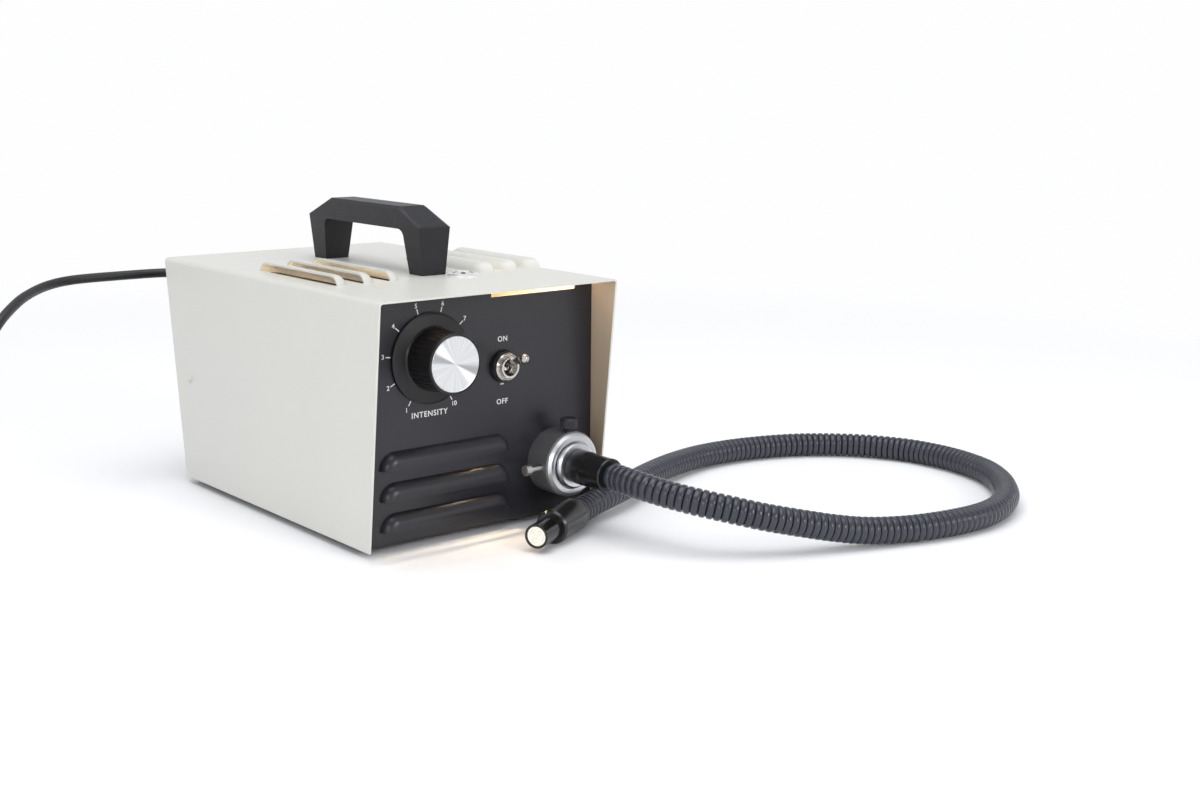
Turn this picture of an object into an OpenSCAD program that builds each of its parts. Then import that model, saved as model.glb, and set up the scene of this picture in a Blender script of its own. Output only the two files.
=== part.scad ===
// Fibre optic bench illuminator with its light guide plugged in.
// The lamp house stands on the X-Y plane, centred on the origin.
// +X is to the right, -Y is the front, +Z is up. All sizes are in millimetres.

/* [Housing] */
// Width of the painted cover
cover_w = 160; // [159:1:164]
// Length of the cover along its top
cover_l = 244; // [243:1:248]
// Height of the cover's top above the bench
cover_top = 140; // [140:1:143]
// Height of the cover's lower edge above the bench
cover_low = 4; // [4:0.5:5]
// How far the cover's front edge leans back on its way down
front_lean = 14; // [12:1:15]
// How far the cover's rear edge leans forward on its way down
rear_lean = 18; // [16:1:19]
// Thickness of the sheet steel
sheet_t = 1.2; // [1:0.1:1.3]
// Outer radius of the bends in the sheet
bend_r = 2.6; // [2.2:0.1:3]

/* [Handle] */
// Length of the handle over its shoulders
handle_l = 121; // [118:1:126]
// Height of the handle above the cover
handle_h = 38.4; // [36:0.2:42]
// Width of the handle at its shoulders
handle_w = 21.4; // [20:0.2:23]
// Width of the handle's feet
handle_base_w = 16; // [14:0.5:18]
// Height of the handle's bar
handle_bar = 12.8; // [11:0.2:14]

/* [Louvres] */
// Louvres in each bank
louvre_n = 3; // [2:1:3]
// Length of a louvre
louvre_l = 86; // [80:1:88]
// Depth of a louvre behind its lip
louvre_d = 9.6; // [9:0.2:10]
// How far a louvre stands out of the sheet
louvre_h = 5.4; // [4.6:0.2:5.6]

/* [Controls] */
// Radius of the knob's skirt
skirt_r = 25; // [22:1:25]
// Radius of the knob's grip at its front
grip_r = 16.5; // [15:0.5:17]
// Flutes round the knob's grip
flute_n = 36; // [24:4:40]
// Angle of the switch lever above level
lever_tilt = 20; // [16:1:21]

/* [Light guide] */
// Outer radius of the light port
port_r = 19; // [18.6:0.1:19.2]
// Radius of the guide's end piece that fits in the port
plug_r = 12.5; // [12:0.1:12.6]
// Radius of the smooth sleeves on the guide's ends
sleeve_r = 9.6; // [9.2:0.1:9.6]
// Radius of the hose over its ribs
hose_r = 7.7; // [7.4:0.1:7.7]
// Ribs on the hose
rib_n = 180; // [100:10:190]

/* [Mains lead] */
// Diameter of the lead
lead_d = 5.8; // [5.4:0.1:6]

/* [Hidden] */
$fn = 48;

// Radial gap of a running fit
run_gap = 0.05;

// Colours
paint_col = [0.82, 0.83, 0.81];
black_col = [0.16, 0.16, 0.17];
steel_col = [0.75, 0.75, 0.76];
alu_col = [0.86, 0.87, 0.88];
brass_col = [0.78, 0.64, 0.34];
copper_col = [0.72, 0.42, 0.2];

// Housing. The front edge of the cover lies at front_y, the knob stands knob_over before it.
knob_over = 3;
front_y = (knob_over - cover_l) / 2;
rear_y = front_y + cover_l;
wall_in = cover_w / 2 - sheet_t;
panel_y = front_y + 21;
back_y = rear_y - 19;
floor_z = cover_low - 1;
panel_top = cover_top - 4.7;
chassis_w = 2 * wall_in - 0.8;
flange_l = 14;

// Louvres: a level stretch behind the lip, then a round slope
louvre_flat = 2.5;
louvre_pitch = 17;
// Top louvres: the outermost lip of each bank and their middle
left_lip_x = -64;
right_lip_x = 76;
top_louvre_y = -11.5;
// Front louvres: the lowest lip and their middle
front_lip_z = 12;
front_louvre_x = -25.5;

// Handle: its legs lean a little, its shoulders slope and its upper edges have a bevel
handle_x = 4.6;
handle_y = 12.8;
handle_lean = 1.1;
handle_foot_l = 13.2;
handle_top_w = 20;
shoulder_l = 21.2;
shoulder_drop = 10;
bevel_w = 2.8;
bevel_end = 1.2;
bevel_h = 2.2;
gap_lean = 2.6;
gap_r = 5;
handle_screw_at = handle_l / 2 - handle_lean - handle_foot_l / 2;
handle_screw_y = [handle_y - handle_screw_at, handle_y + handle_screw_at];
screw_r = 2;

// Places on the front panel
knob_x = -35;
knob_z = 103.7;
toggle_x = 13.8;
toggle_z = 94;
port_x = 50.5;
port_z = 35;
notch_x = [6, 66];
notch_z = cover_top - 6.8;
vent_x = 16.3;
vent_y = -58.8;
vent_r = 9;

// Cover screws near the rear edge
side_screw_y = rear_y - 26.9;
side_screw_z = 68.4;

// Knob, from the panel outwards
skirt_t = 2.6;
skirt_y = panel_y - 0.9;
knob_front = front_y - knob_over;
grip_taper = 1.2;
shaft_r = 3;
bushing_r = 4.7;

// Toggle switch
toggle_pivot_y = panel_y - 0.5;
toggle_bush_r = 5.95;
toggle_bush_l = 7.5;
lever_ball_r = 3.6;
lever_pin_r = 1;
lever_pin_l = 9.2;
lever_l = 20.5;

// Light port, from the panel outwards
port_l = 16.7;
ring_t = 2.4;
ring_r = port_r - 0.8;
port_bore_r = plug_r + run_gap;
ring_y = panel_y - port_l - ring_t;
flange_r = 13;
flange_t = 3;
guide_y = ring_y - flange_t;
spigot_r = 15.5;
port_end_y = panel_y + 9;
thumb_y = panel_y - 13.8;
thumb_head_r = 5;
thumb_neck = 2.2;
side_pin_y = panel_y - 12.9;
side_pin_r = 1.4;
side_pin_out = 8.4;
tip_gap = 0.6;

// Guide. Its sleeve ends where the hose begins.
hose_y = -150.5;
bundle_r = 3.2;
bore_r = 5.2;
rib_valley = 0.86;
tip_start = [42.5, -128.8, 9.6];
tip_turn = 205.7;
tip_sleeve_l = 31;
tip_tube_l = 18.5;
tip_r = 6.8;
tip_face_r = 5.4;

// Route of the hose, from the port to the tip
hose_route = [
    [50.5, hose_y, port_z], [50.5, -158.5, 34.9], [50.7, -167, 34.5], [53.2, -180, 33.2], [59.5, -194, 30.8],
    [67, -205.5, 28.5], [78, -217, 25.4], [92, -228, 21.4], [109, -237.5, 17.2],
    [129, -246.5, 12.6], [147, -253.5, 9.5], [167.5, -261, 8], [188, -267.5, 7.8],
    [210, -271.5, 7.8], [230.5, -272, 7.8], [251, -267.5, 7.8], [272.5, -257.5, 7.8],
    [290, -244, 7.8], [305, -228.5, 7.8], [318, -208, 7.8], [325.5, -180, 7.8],
    [325, -152, 7.8], [318.5, -131.5, 7.8], [306, -111.5, 7.8], [288.5, -94.5, 7.8],
    [270, -83, 7.8], [248, -74.8, 7.8], [225, -70.5, 8], [197, -70.5, 8.4],
    [165, -78.2, 9.3], [134, -90.8, 10.4], [105, -105, 11.4], [84, -114.5, 12],
    [68, -119.4, 11.2], [54, -123.8, 10], tip_start
];

// Route of the mains lead, from its strain relief to the coil
lead_r = lead_d / 2;
lead_x = -50;
lead_z = 126;
relief_l = 22;
relief_y = back_y + relief_l;
coil_x = -292;
coil_y = 73;
coil_z = lead_r + 0.8;
coil_start = -47.7;
coil_turns = 6.367;
coil_out_r = 44.6;
coil_in_r = 24.2;
layer_h = lead_d + 0.6;
lead_route = [
    [lead_x, relief_y, lead_z], [lead_x, relief_y + 6, 126], [-51, 139.3, 126], [-53.5, 145.5, 126],
    [-57.5, 150.8, 126], [-63, 154.7, 126], [-69.5, 157, 126], [-77, 158, 126], [-88, 158.4, 126],
    [-100, 158.4, 126], [-113, 158, 126], [-125, 157, 125.8], [-137, 153.5, 125.2],
    [-150, 146, 123.8], [-165, 132, 121.5], [-177, 119.5, 118], [-190, 106, 112],
    [-201, 96, 102.5], [-212, 86, 87.5], [-220.5, 78, 70], [-228, 70.5, 51],
    [-235, 63.5, 33], [-242, 56.5, 18.5], [-249.5, 49.8, 9], [-256.6, 44.4, 4.8],
    [coil_x + coil_out_r * cos(coil_start), coil_y + coil_out_r * sin(coil_start), coil_z]
];

// Lamp
reflector_r = 25;
lamp_y = panel_y + 33;
lamp_l = 40;
plate_t = 1.6;
plate_y = lamp_y - plate_t;
socket_y = lamp_y + lamp_l + 0.3;
socket_h = 12;

lamp_screw_y = plate_y + 14;

// Transformer
trans_x = -38;
trans_y = 12;
trans_w = 66;
trans_d = 34;
trans_h = 56;
strap_screw_x = trans_w / 2 + 8;

floor_screw_at = [
    [port_x - 18, lamp_screw_y], [port_x + 18, lamp_screw_y], [trans_x + strap_screw_x, trans_y]
];

// Dimmer board behind the front panel
board_x = [-76, -14];
board_z = [60, 128];
board_y = panel_y + 38;
board_t = 1.6;
board_inset = 5;

// Fan
fan_x = 26;
fan_z = 62;
fan_w = 80;
fan_t = 25;
fan_r = 37.5;
hub_r = 15;
blade_n = 7;
fan_pitch = 71.5;

// Fuse
fuse_x = -50;
fuse_z = 40;

// ---- shapes that several pieces share ----

// A bar of a given radius along Y, from y0 to y1
module bar_y(x, y0, y1, z, r, r2 = -1) {
    translate([x, y0, z]) rotate([-90, 0, 0]) cylinder(h = y1 - y0, r1 = r, r2 = r2 < 0 ? r : r2);
}

// A bar along X, from x0 to x1
module bar_x(x0, x1, y, z, r) {
    translate([x0, y, z]) rotate([0, 90, 0]) cylinder(h = x1 - x0, r = r);
}

// A bar along Z, from z0 to z1
module bar_z(x, y, z0, z1, r, r2 = -1) {
    translate([x, y, z0]) cylinder(h = z1 - z0, r1 = r, r2 = r2 < 0 ? r : r2);
}

// A block given by its lowest and highest corners
module block(low, high) {
    translate(low) cube(high - low);
}

// A Y-Z outline drawn out along X, centred
module along_x(w) {
    translate([-w / 2, 0, 0]) rotate([90, 0, 90]) linear_extrude(w) children();
}

// An X-Z outline drawn out along Y, from y0 to y1
module along_y(y0, y1) {
    translate([0, y1, 0]) rotate([90, 0, 0]) linear_extrude(y1 - y0) children();
}

// An X-Z profile turned round an axis along Y through (x, z). Profile x is the radius, y is the depth.
module turned_y(x, z) {
    translate([x, 0, z]) rotate([-90, 0, 0]) rotate_extrude() children();
}

// A rectangle with two rounded top corners
module arch_outline(w, z0, z1, r) {
    translate([-w / 2, z0]) square([w, z1 - z0 - r]);
    translate([-w / 2 + r, z0]) square([w - 2 * r, z1 - z0]);
    for (s = [-1, 1])
        translate([s * (w / 2 - r), z1 - r]) circle(r);
}

// Half of a rounded bar with its corners rounded on all four sides
module round_outline(w, h, r) {
    translate([-w / 2, -h / 2 + r]) square([w, h - 2 * r]);
    translate([-w / 2 + r, -h / 2]) square([w - 2 * r, h]);
    for (sx = [-1, 1], sy = [-1, 1])
        translate([sx * (w / 2 - r), sy * (h / 2 - r)]) circle(r);
}

// ---- louvres ----

// Section of a louvre: level behind its lip, then round down to the sheet. Its faces lie t inside the outer ones.
module louvre_section(t) {
    drop = louvre_d - louvre_flat;
    bulge_r = (drop * drop + louvre_h * louvre_h) / (2 * louvre_h);
    translate([0, -2 * sheet_t]) square([louvre_flat, louvre_h - t + 2 * sheet_t]);
    intersection() {
        translate([louvre_flat, louvre_h - bulge_r]) circle(bulge_r - t, $fn = 96);
        translate([0, -2 * sheet_t]) square([louvre_d, louvre_h + 2 * sheet_t]);
    }
}

// One louvre with rounded ends, its lip on the line x = 0 and its length along Y
module louvre_form(t) {
    run = louvre_l - 2 * louvre_d;
    translate([0, run / 2, 0]) rotate([90, 0, 0]) linear_extrude(run) louvre_section(t);
    for (s = [-1, 1])
        translate([0, s * run / 2, 0]) rotate([0, 0, s < 0 ? -90 : 0]) rotate_extrude(angle = 90) louvre_section(t);
}

module louvre_outer() {
    intersection() {
        louvre_form(0);
        block([0, -louvre_l, -sheet_t], [louvre_d + 1, louvre_l, louvre_h + 1]);
    }
}

// The hollow of a louvre runs out through its lip
module louvre_hollow() {
    louvre_form(sheet_t);
    intersection() {
        translate([-1, 0, 0]) louvre_form(sheet_t);
        block([-1, -louvre_l, 0], [0, louvre_l, louvre_h]);
    }
}

// Puts louvres in the top: one bank opens to the left, the other to the right
module at_top_louvres() {
    for (i = [0 : louvre_n - 1]) {
        translate([left_lip_x + i * louvre_pitch, top_louvre_y, cover_top]) children();
        translate([right_lip_x - i * louvre_pitch, top_louvre_y, cover_top]) rotate([0, 0, 180]) children();
    }
}

// Puts louvres in the front panel, open downwards
module at_front_louvres() {
    for (i = [0 : louvre_n - 1])
        translate([front_louvre_x, panel_y, front_lip_z + i * louvre_pitch]) rotate([90, -90, 0]) children();
}

// ---- housing ----

module cover_outline() {
    polygon([
        [front_y, cover_top], [front_y + front_lean, cover_low],
        [rear_y - rear_lean, cover_low], [rear_y, cover_top]
    ]);
}

module cover() {
    color(paint_col)
    difference() {
        union() {
            intersection() {
                along_y(front_y, rear_y) difference() {
                    arch_outline(cover_w, cover_low, cover_top, bend_r);
                    arch_outline(2 * wall_in, cover_low - 1, cover_top - sheet_t, bend_r - sheet_t);
                }
                along_x(cover_w) cover_outline();
            }
            at_top_louvres() louvre_outer();
        }
        at_top_louvres() louvre_hollow();
        for (y = handle_screw_y)
            bar_z(handle_x, y, cover_top - 3, cover_top + 1, screw_r + 0.3);
        bar_z(vent_x, vent_y, cover_top - 3, cover_top + 1, vent_r - 1.5);
        bar_x(-cover_w, cover_w, side_screw_y, side_screw_z, screw_r + 0.2);
    }
}

// Outline of the chassis from the side: front panel, floor and rear panel in one bent sheet
module chassis_outline() {
    inner_r = bend_r - sheet_t;
    difference() {
        union() {
            translate([panel_y + bend_r, floor_z]) square([back_y - panel_y - 2 * bend_r, panel_top - floor_z]);
            translate([panel_y, floor_z + bend_r]) square([back_y - panel_y, panel_top - floor_z - bend_r]);
            for (y = [panel_y + bend_r, back_y - bend_r])
                translate([y, floor_z + bend_r]) circle(bend_r);
        }
        translate([panel_y + bend_r, floor_z + sheet_t])
            square([back_y - panel_y - 2 * bend_r, panel_top]);
        translate([panel_y + sheet_t, floor_z + bend_r])
            square([back_y - panel_y - 2 * sheet_t, panel_top]);
        for (y = [panel_y + bend_r, back_y - bend_r])
            translate([y, floor_z + bend_r]) circle(inner_r);
    }
}

module chassis() {
    side_x = chassis_w / 2;
    color(black_col)
    difference() {
        union() {
            along_x(chassis_w) chassis_outline();
            at_front_louvres() louvre_outer();
            for (s = [-1, 1]) {
                x0 = s < 0 ? -side_x : side_x - sheet_t;
                // Flange that takes the cover screw, with its captive nut
                block([x0, back_y - flange_l, 20], [x0 + sheet_t, back_y - sheet_t / 2, panel_top - 8]);
                bar_x(s < 0 ? -side_x : side_x - 5, s < 0 ? -side_x + 5 : side_x, side_screw_y - 2, side_screw_z, 4);
                // Lip along the edge of the floor
                block([x0, panel_y + 6, floor_z + sheet_t / 2], [x0 + sheet_t, back_y - flange_l - 6, floor_z + 11]);
            }
        }
        at_front_louvres() louvre_hollow();
        // Air slot along the top of the panel
        block([notch_x[0], panel_y - 1, notch_z], [notch_x[1], panel_y + 3, panel_top + 1]);
        // Holes in the front panel
        bar_y(knob_x, panel_y - 1, panel_y + 2, knob_z, bushing_r + run_gap);
        bar_y(toggle_x, panel_y - 1, panel_y + 2, toggle_z, toggle_bush_r + run_gap);
        bar_y(port_x, panel_y - 1, panel_y + 2, port_z, spigot_r + run_gap);
        // Holes in the floor
        for (p = floor_screw_at)
            bar_z(p.x, p.y, floor_z - 1, floor_z + 3, screw_r + run_gap);
        // Holes in the rear panel
        bar_y(fan_x, back_y - 2, back_y + 1, fan_z, fan_r);
        for (sx = [-1, 1], sz = [-1, 1])
            bar_y(fan_x + sx * fan_pitch / 2, back_y - 2, back_y + 1, fan_z + sz * fan_pitch / 2, screw_r + 0.15);
        bar_y(fuse_x, back_y - 2, back_y + 1, fuse_z, 6.05);
        bar_y(lead_x, back_y - 2, back_y + 1, lead_z, 4.85);
        for (s = [-1, 1])
            bar_x(s < 0 ? -side_x - 1 : side_x - 6, s < 0 ? -side_x + 6 : side_x + 1,
                side_screw_y, side_screw_z, screw_r + run_gap);
    }
}

module feet() {
    color([0.1, 0.1, 0.1])
    for (sx = [-1, 1], y = [panel_y + 26, back_y - 26])
        translate([sx * (cover_w / 2 - 24), y, 0]) cylinder(h = floor_z, r1 = 6.4, r2 = 7);
}

// Half of the handle's side outline, mirrored: feet, shoulders and bar, its ends drawn in by e and its top by t
module handle_side(e, t) {
    foot = handle_l / 2 - handle_lean - e;
    shoulder = handle_l / 2 - e;
    top = handle_h - t;
    polygon([
        [-foot, 0], [-shoulder, top - shoulder_drop + t / 2], [shoulder_l - shoulder, top],
        [shoulder - shoulder_l, top], [shoulder, top - shoulder_drop + t / 2], [foot, 0]
    ]);
}

// Opening between the legs, with rounded corners under the bar
module handle_gap() {
    low = handle_l / 2 - handle_lean - handle_foot_l;
    high = low - gap_lean;
    top = handle_h - handle_bar;
    polygon([
        [-low, 0], [-low, -1], [low, -1], [low, 0], [high, top - gap_r],
        [high - gap_r, top], [gap_r - high, top], [-high, top - gap_r]
    ]);
    for (s = [-1, 1])
        translate([s * (high - gap_r), top - gap_r]) circle(gap_r);
}

// The handle from its end: narrow feet, wide shoulders and a slightly narrower top
module handle_end() {
    shoulder_z = handle_h - shoulder_drop - bevel_h / 2;
    polygon([
        [-handle_base_w / 2, 0], [-handle_w / 2, shoulder_z], [-handle_top_w / 2, handle_h],
        [handle_top_w / 2, handle_h], [handle_w / 2, shoulder_z], [handle_base_w / 2, 0]
    ]);
}

module handle() {
    color([0.13, 0.13, 0.14])
    translate([handle_x, handle_y, cover_top])
    difference() {
        intersection() {
            hull() {
                along_x(handle_w) handle_side(0, bevel_h);
                along_x(handle_w - 2 * bevel_w) handle_side(bevel_end, 0);
            }
            along_y(-handle_l, handle_l) handle_end();
        }
        along_x(handle_w + 2) handle_gap();
        for (s = [-1, 1])
            bar_z(0, s * handle_screw_at, -1, 14.2, screw_r + run_gap);
    }
}

// Pan-head screw pointing up from z0, with its cross recess left to the finish
module pan_screw(r, l) {
    cylinder(h = l, r = r);
    translate([0, 0, -0.8 * r]) cylinder(h = 0.8 * r, r1 = 1.5 * r, r2 = 1.9 * r);
}

module handle_screws() {
    color(steel_col)
    for (y = handle_screw_y)
        translate([handle_x, y, cover_top - sheet_t]) pan_screw(screw_r, 14);
}

module cover_screws() {
    color(paint_col)
    for (s = [-1, 1])
        translate([s * cover_w / 2, side_screw_y, side_screw_z]) rotate([0, -s * 90, 0]) pan_screw(screw_r, 6);
}

// Domed metal button that snaps into a hole in the top
module vent_plug() {
    dome_h = 2.2;
    dome_r = (vent_r * vent_r + dome_h * dome_h) / (2 * dome_h);
    color(alu_col)
    translate([vent_x, vent_y, cover_top])
    difference() {
        union() {
            cylinder(h = 1, r = vent_r);
            translate([0, 0, 1]) intersection() {
                translate([0, 0, dome_h - dome_r]) sphere(dome_r, $fn = 96);
                cylinder(h = dome_h, r = vent_r);
            }
            translate([0, 0, -4]) cylinder(h = 4, r = vent_r - 1.6);
        }
        translate([0, 0, -5]) cylinder(h = 5, r = vent_r - 2.6);
        for (i = [0 : 4])
            rotate([0, 0, 72 * i + 20]) block([3.6, -1.3, -1], [6.2, 1.3, 5]);
    }
}

// ---- intensity control ----

module knob_profile() {
    polygon([
        [shaft_r + 0.02, skirt_y - 8], [shaft_r + 0.02, knob_front + 4], [0, knob_front + 4],
        [0, knob_front + 1], [grip_r - 1.1, knob_front + 1], [grip_r - 1.1, knob_front],
        [grip_r - 0.4, knob_front], [grip_r, knob_front + 0.5], [grip_r, knob_front + 2.6],
        [grip_r - 0.5, knob_front + 3.2], [grip_r - 0.5 + grip_taper, skirt_y - skirt_t - 0.6],
        [grip_r + 0.4 + grip_taper, skirt_y - skirt_t + 0.2], [skirt_r - 1.2, skirt_y - 1.4], [skirt_r, skirt_y - 0.8],
        [skirt_r, skirt_y], [14, skirt_y], [13, skirt_y - 8]
    ]);
}

module knob() {
    flute_l = skirt_y - skirt_t - knob_front - 4.2;
    color(black_col)
    difference() {
        turned_y(knob_x, knob_z) knob_profile();
        for (i = [0 : flute_n - 1])
            translate([knob_x, 0, knob_z]) rotate([0, i * 360 / flute_n, 0])
                translate([grip_r + 0.05, knob_front + 3.4, 0]) rotate([0, 0, -atan(grip_taper / flute_l)])
                    bar_y(0, 0, flute_l, 0, 0.9, $fn = 16);
        translate([knob_x, skirt_y - 12, knob_z]) rotate([0, 62, 0])
            cylinder(h = grip_r + 3, r = 1.55);
    }
}

module knob_cap() {
    color(alu_col)
    turned_y(knob_x, knob_z) polygon([
        [0, knob_front + 1], [0, knob_front + 0.1], [grip_r - 2, knob_front + 0.1],
        [grip_r - 1.6, knob_front - 0.0], [grip_r - 1.15, knob_front + 0.35], [grip_r - 1.15, knob_front + 1]
    ]);
}

module knob_set_screw() {
    color(steel_col)
    translate([knob_x, skirt_y - 12, knob_z]) rotate([0, 62, 0])
    difference() {
        translate([0, 0, shaft_r + 0.05]) cylinder(h = grip_r - shaft_r - 3, r = 1.5);
        translate([0, 0, grip_r - 5]) cylinder(h = 4, r = 0.8, $fn = 6);
    }
}

module pot_shaft() {
    color(alu_col) bar_y(knob_x, knob_front + 4.2, panel_y + 6, knob_z, shaft_r);
}

module pot_nut() {
    color(brass_col)
    difference() {
        bar_y(knob_x, panel_y - 2.2, panel_y, knob_z, 7, $fn = 6);
        bar_y(knob_x, panel_y - 3, panel_y + 1, knob_z, bushing_r + 0.02);
    }
}

module potentiometer() {
    body_y = panel_y + sheet_t;
    color(brass_col)
    difference() {
        union() {
            bar_y(knob_x, panel_y - 5.5, body_y, knob_z, bushing_r);
            bar_y(knob_x, body_y, body_y + 10, knob_z, 12);
            for (i = [-1 : 1])
                block([knob_x + 5 * i - 1, body_y + 3, knob_z - 20], [knob_x + 5 * i + 1, body_y + 3.8, knob_z - 10]);
        }
        bar_y(knob_x, panel_y - 6, panel_y + 6.5, knob_z, shaft_r + run_gap);
    }
}

// ---- power switch ----

module toggle_body() {
    body_y = panel_y + sheet_t;
    color([0.25, 0.12, 0.1])
    difference() {
        union() {
            block([toggle_x - 7, body_y, toggle_z - 14], [toggle_x + 7, body_y + 19, toggle_z + 14]);
            for (z = [-9, 0, 9])
                block([toggle_x - 3, body_y + 18, toggle_z + z - 0.4], [toggle_x + 3, body_y + 27, toggle_z + z + 0.4]);
            bar_y(toggle_x, panel_y - toggle_bush_l, body_y + 0.5, toggle_z, toggle_bush_r);
        }
        bar_y(toggle_x, panel_y - 4, body_y + 1, toggle_z, lever_ball_r + run_gap);
        bar_y(toggle_x, panel_y - toggle_bush_l - 0.1, panel_y - 4 + 0.1, toggle_z, 4.9, lever_ball_r + run_gap);
        block([toggle_x - 3, body_y, toggle_z - 7], [toggle_x + 3, body_y + 9, toggle_z + 7]);
        lever_pin(lever_pin_r + run_gap, lever_pin_l + 0.2);
    }
}

// Pivot pin of the lever, across the threaded bush
module lever_pin(r, l) {
    bar_x(toggle_x - l / 2, toggle_x + l / 2, toggle_pivot_y, toggle_z, r);
}

module toggle_washer() {
    color([0.08, 0.08, 0.08])
    difference() {
        bar_y(toggle_x, panel_y - 2.8, panel_y, toggle_z, 8.6, 9.4);
        bar_y(toggle_x, panel_y - 4, panel_y + 1, toggle_z, toggle_bush_r + 0.02);
    }
}

module toggle_nut() {
    color(steel_col)
    difference() {
        turned_y(toggle_x, toggle_z) polygon([
            [toggle_bush_r - 1, panel_y - 2.8], [8, panel_y - 2.8], [8, panel_y - 4.9],
            [7.3, panel_y - 5.6], [6.9, panel_y - 5.6], [6.5, panel_y - 5], [toggle_bush_r - 1, panel_y - 5]
        ]);
        bar_y(toggle_x, panel_y - 7, panel_y + 1, toggle_z, toggle_bush_r + 0.02);
    }
}

module toggle_lever() {
    color(steel_col)
    union() {
        translate([toggle_x, toggle_pivot_y, toggle_z]) rotate([90 - lever_tilt, 0, 0]) {
            sphere(lever_ball_r);
            translate([0, 0, -6.5]) cylinder(h = 6.5, r = 1.2);
            cylinder(h = lever_l - 2, r1 = 1.7, r2 = 2.1);
            translate([0, 0, lever_l - 3.2]) cylinder(h = 3.2, r1 = 2.1, r2 = 2.85);
            translate([0, 0, lever_l]) sphere(2.85);
        }
        lever_pin(lever_pin_r, lever_pin_l);
    }
}

// ---- light port ----

module port_collar() {
    color([0.22, 0.22, 0.24])
    difference() {
        union() {
            bar_y(port_x, panel_y - port_l, panel_y, port_z, port_r);
            bar_y(port_x, panel_y - 1, port_end_y, port_z, spigot_r);
        }
        bar_y(port_x, panel_y - port_l - 1, port_end_y + 1, port_z, port_bore_r);
        bar_z(port_x, thumb_y, port_z, port_z + port_r + 1, screw_r + run_gap);
        bar_x(port_x - port_r - 1, port_x, side_pin_y, port_z, side_pin_r + run_gap);
    }
}

module port_ring() {
    color(alu_col)
    turned_y(port_x, port_z) polygon([
        [port_bore_r + 1.6, ring_y], [ring_r - 1.5, ring_y], [ring_r, ring_y + 1.5],
        [ring_r, panel_y - port_l], [port_bore_r + 0.4, panel_y - port_l], [port_bore_r + 0.4, ring_y + 1]
    ]);
}

module port_nut() {
    color(steel_col)
    difference() {
        bar_y(port_x, panel_y + sheet_t, panel_y + sheet_t + 5, port_z, 20);
        bar_y(port_x, panel_y, panel_y + 8, port_z, spigot_r + 0.02);
        for (a = [0 : 90 : 270])
            translate([port_x, panel_y, port_z]) rotate([0, a + 45, 0]) block([18, 0, -2.5], [22, 8, 2.5]);
    }
}

module thumbscrew() {
    head_z = port_z + port_r + thumb_neck;
    head_h = 4.8;
    grip_n = 20;
    color([0.2, 0.2, 0.22])
    difference() {
        union() {
            bar_z(port_x, thumb_y, port_z + plug_r + tip_gap, head_z + 1, screw_r);
            bar_z(port_x, thumb_y, head_z - 1.2, head_z, thumb_head_r - 2, thumb_head_r);
            bar_z(port_x, thumb_y, head_z, head_z + head_h, thumb_head_r);
            bar_z(port_x, thumb_y, head_z + head_h, head_z + head_h + 0.7, thumb_head_r, thumb_head_r - 0.9);
        }
        for (i = [0 : grip_n - 1])
            translate([port_x, thumb_y, 0]) rotate([0, 0, i * 360 / grip_n])
                bar_z(thumb_head_r + 0.2, 0, head_z - 1.3, head_z + head_h - 0.6, 0.5, $fn = 14);
    }
}

module port_screw() {
    head_x = port_x - port_r - side_pin_out;
    head_l = 3.6;
    color(steel_col)
    difference() {
        union() {
            bar_x(head_x, port_x - plug_r - tip_gap, side_pin_y, port_z, side_pin_r);
            bar_x(head_x - head_l, head_x, side_pin_y, port_z, 3);
        }
        translate([head_x - head_l - 0.1, side_pin_y, port_z]) rotate([0, 90, 0]) cylinder(h = 2.3, r = 1.5, $fn = 6);
    }
}

// ---- light guide ----

// Point of a smooth curve through the route, between points i and i + 1
function on_curve(p, i, t) =
    let (a = p[max(i - 1, 0)], b = p[i], c = p[i + 1], d = p[min(i + 2, len(p) - 1)])
    0.5 * (2 * b + (c - a) * t + (2 * a - 5 * b + 4 * c - d) * t * t + (3 * b - a - 3 * c + d) * t * t * t);

// The route again, with n points to each stretch
function smooth_route(p, n) =
    [for (i = [0 : len(p) - 2], k = [0 : n - 1]) on_curve(p, i, k / n), p[len(p) - 1]];

// Length along a route up to each of its points
function lengths(p) =
    [for (i = 0, s = 0; i < len(p); s = s + (i < len(p) - 1 ? norm(p[i + 1] - p[i]) : 0), i = i + 1) s];

// Table of one coordinate against the length along the route
function table_of(p, s, axis) = [for (i = [0 : len(p) - 1]) [s[i], p[i][axis]]];

function unit(v) = v / norm(v);

// Direction of a route at point i
function heading(p, i) = unit(p[min(i + 1, len(p) - 1)] - p[max(i - 1, 0)]);

// A ring of k points round c, square to direction t
function ring(c, t, r, k) =
    let (side = unit(cross(t, [0, 0, 1])), up = cross(side, t))
    [for (j = [0 : k - 1]) c + r * (cos(360 * j / k) * side + sin(360 * j / k) * up)];

// Triangles of a wall between two rings that start at points a and b
function wall(a, b, k, flip = false) = [for (j = [0 : k - 1]) each
    let (m = (j + 1) % k, q = flip ? [[a + j, b + m, a + m], [a + j, b + j, b + m]]
        : [[a + j, a + m, b + m], [a + j, b + m, b + j]]) q];

function flat_points(rings) = [for (r = rings) each r];

// A closed tube whose rings follow one another, with a fan of triangles over each end
module solid_tube(rings, k) {
    n = len(rings);
    polyhedron(
        points = flat_points(rings),
        faces = [
            for (i = [0 : n - 2]) each wall(i * k, (i + 1) * k, k),
            for (j = [1 : k - 2]) [0, j + 1, j],
            for (j = [1 : k - 2]) [(n - 1) * k, (n - 1) * k + j, (n - 1) * k + j + 1]
        ]);
}

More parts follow.
